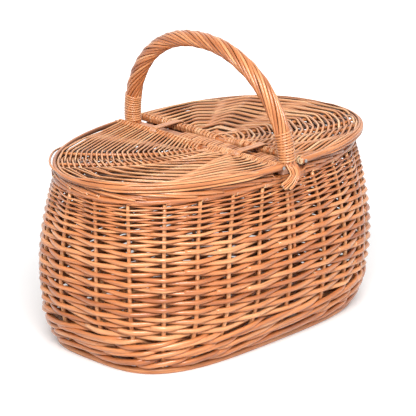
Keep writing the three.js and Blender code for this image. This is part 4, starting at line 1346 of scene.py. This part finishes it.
def makeHingeLoop(end, middle, seed, s):
    outline = loopOutline(s)
    total = s["turns"] * s["steps"]
    points, outs = [], []
    for i in range(total + 1):
        (x, z), out = outline[i % s["steps"]]
        points.append((x, middle + (i / total - 0.5) * (s["width"] - 2 * s["radius"]), z))
        outs.append((out[0], 0, out[1]))
    # painted shade on the inner side of the loop, against the bars and lath
    wound = rod(points, s["radius"], s["tone"], paintedShadeSides(np.array(outs), inner=0.95, edge=0.55))
    makeRods(f"{end}_hinge_loop", [wound], skeinFinish, "basket", [f"hinge_loop_{end}"], seed=seed)


makeLathWrap(wrapSettings)
makeHingeLoop("front", loopSettings["at"][0], 71, loopSettings)
makeHingeLoop("back", loopSettings["at"][1], 72, loopSettings)

# Floor, light and background. A lamp's turn counts from straight in front of the basket to its left.
studioSettings = {
    "floor": 6.0, "floorColour": (0.8, 0.8, 0.8), "nearGlow": 0.3, "nearBy": 0.4, "farAway": 1.2,
    "world": 0.28, "lampAim": (0, 0, 0.12),
}
lampSettings = {
    "key": {"power": 70, "size": 1.1, "turn": 45, "rise": 43, "away": 2.6},
    "fill": {"power": 12, "size": 2.2, "turn": -8, "rise": 55, "away": 2.6},
    "back": {"power": 14, "size": 2.2, "turn": 215, "rise": 50, "away": 2.6},
}


def makeLamp(name, s):
    turn, rise, away = math.radians(s["turn"]), math.radians(s["rise"]), s["away"]
    lamp = bpy.data.lights.new(name, "AREA")
    lamp.energy = s["power"]
    lamp.size = s["size"]
    holder = linkObject(name, lamp)
    holder.location = (-math.sin(turn) * math.cos(rise) * away, -math.cos(turn) * math.cos(rise) * away,
                       math.sin(rise) * away)
    aim = Vector(studioSettings["lampAim"]) - holder.location
    holder.rotation_euler = aim.to_track_quat("-Z", "Y").to_euler()


def seenRays(nodes):
    # 1 for what the camera sees, by itself or in a gloss or through glass
    rays = nodes.add("ShaderNodeLightPath")
    seen = nodes.math("ADD", rays.outputs["Is Camera Ray"], rays.outputs["Is Glossy Ray"])
    return nodes.math("ADD", seen, rays.outputs["Is Transmission Ray"], clamp=True)


def makeStudio(s):
    work = bmesh.new()
    bmesh.ops.create_grid(work, x_segments=1, y_segments=1, size=s["floor"])
    mesh = meshFrom("floor", work)
    material = bpy.data.materials.new("white floor")
    nodes = clearedNodes(material)
    output = nodes.add("ShaderNodeOutputMaterial")
    matt = nodes.add("ShaderNodeBsdfDiffuse")
    matt.inputs["Color"].default_value = (*s["floorColour"], 1)
    glow = nodes.add("ShaderNodeEmission")
    # the floor turns to plain white away from the basket and its shadow
    place = nodes.add("ShaderNodeTexCoord")
    away = nodes.add("ShaderNodeVectorMath", operation="LENGTH")
    nodes.join(place.outputs["Object"], away.inputs[0])
    far = nodes.range(away.outputs["Value"], s["nearBy"], s["farAway"], s["nearGlow"], 1)
    nodes.join(nodes.math("MULTIPLY", seenRays(nodes), far), glow.inputs["Strength"])
    both = nodes.add("ShaderNodeAddShader")
    nodes.join(matt.outputs[0], both.inputs[0])
    nodes.join(glow.outputs[0], both.inputs[1])
    nodes.join(both.outputs[0], output.inputs["Surface"])
    mesh.materials.append(material)
    linkObject("floor", mesh)
    world = bpy.data.worlds.new("studio")
    bpy.context.scene.world = world
    nodes = clearedNodes(world)
    output = nodes.add("ShaderNodeOutputWorld")
    background = nodes.add("ShaderNodeBackground")
    strength = nodes.math("MAXIMUM", seenRays(nodes), s["world"])
    nodes.join(strength, background.inputs["Strength"])
    background.inputs["Color"].default_value = (1, 1, 1, 1)
    nodes.join(background.outputs[0], output.inputs["Surface"])


makeStudio(studioSettings)
for lampName, lampValues in lampSettings.items():
    makeLamp(lampName, lampValues)
bpy.context.scene.view_settings.view_transform = "Standard"
print("studio set")
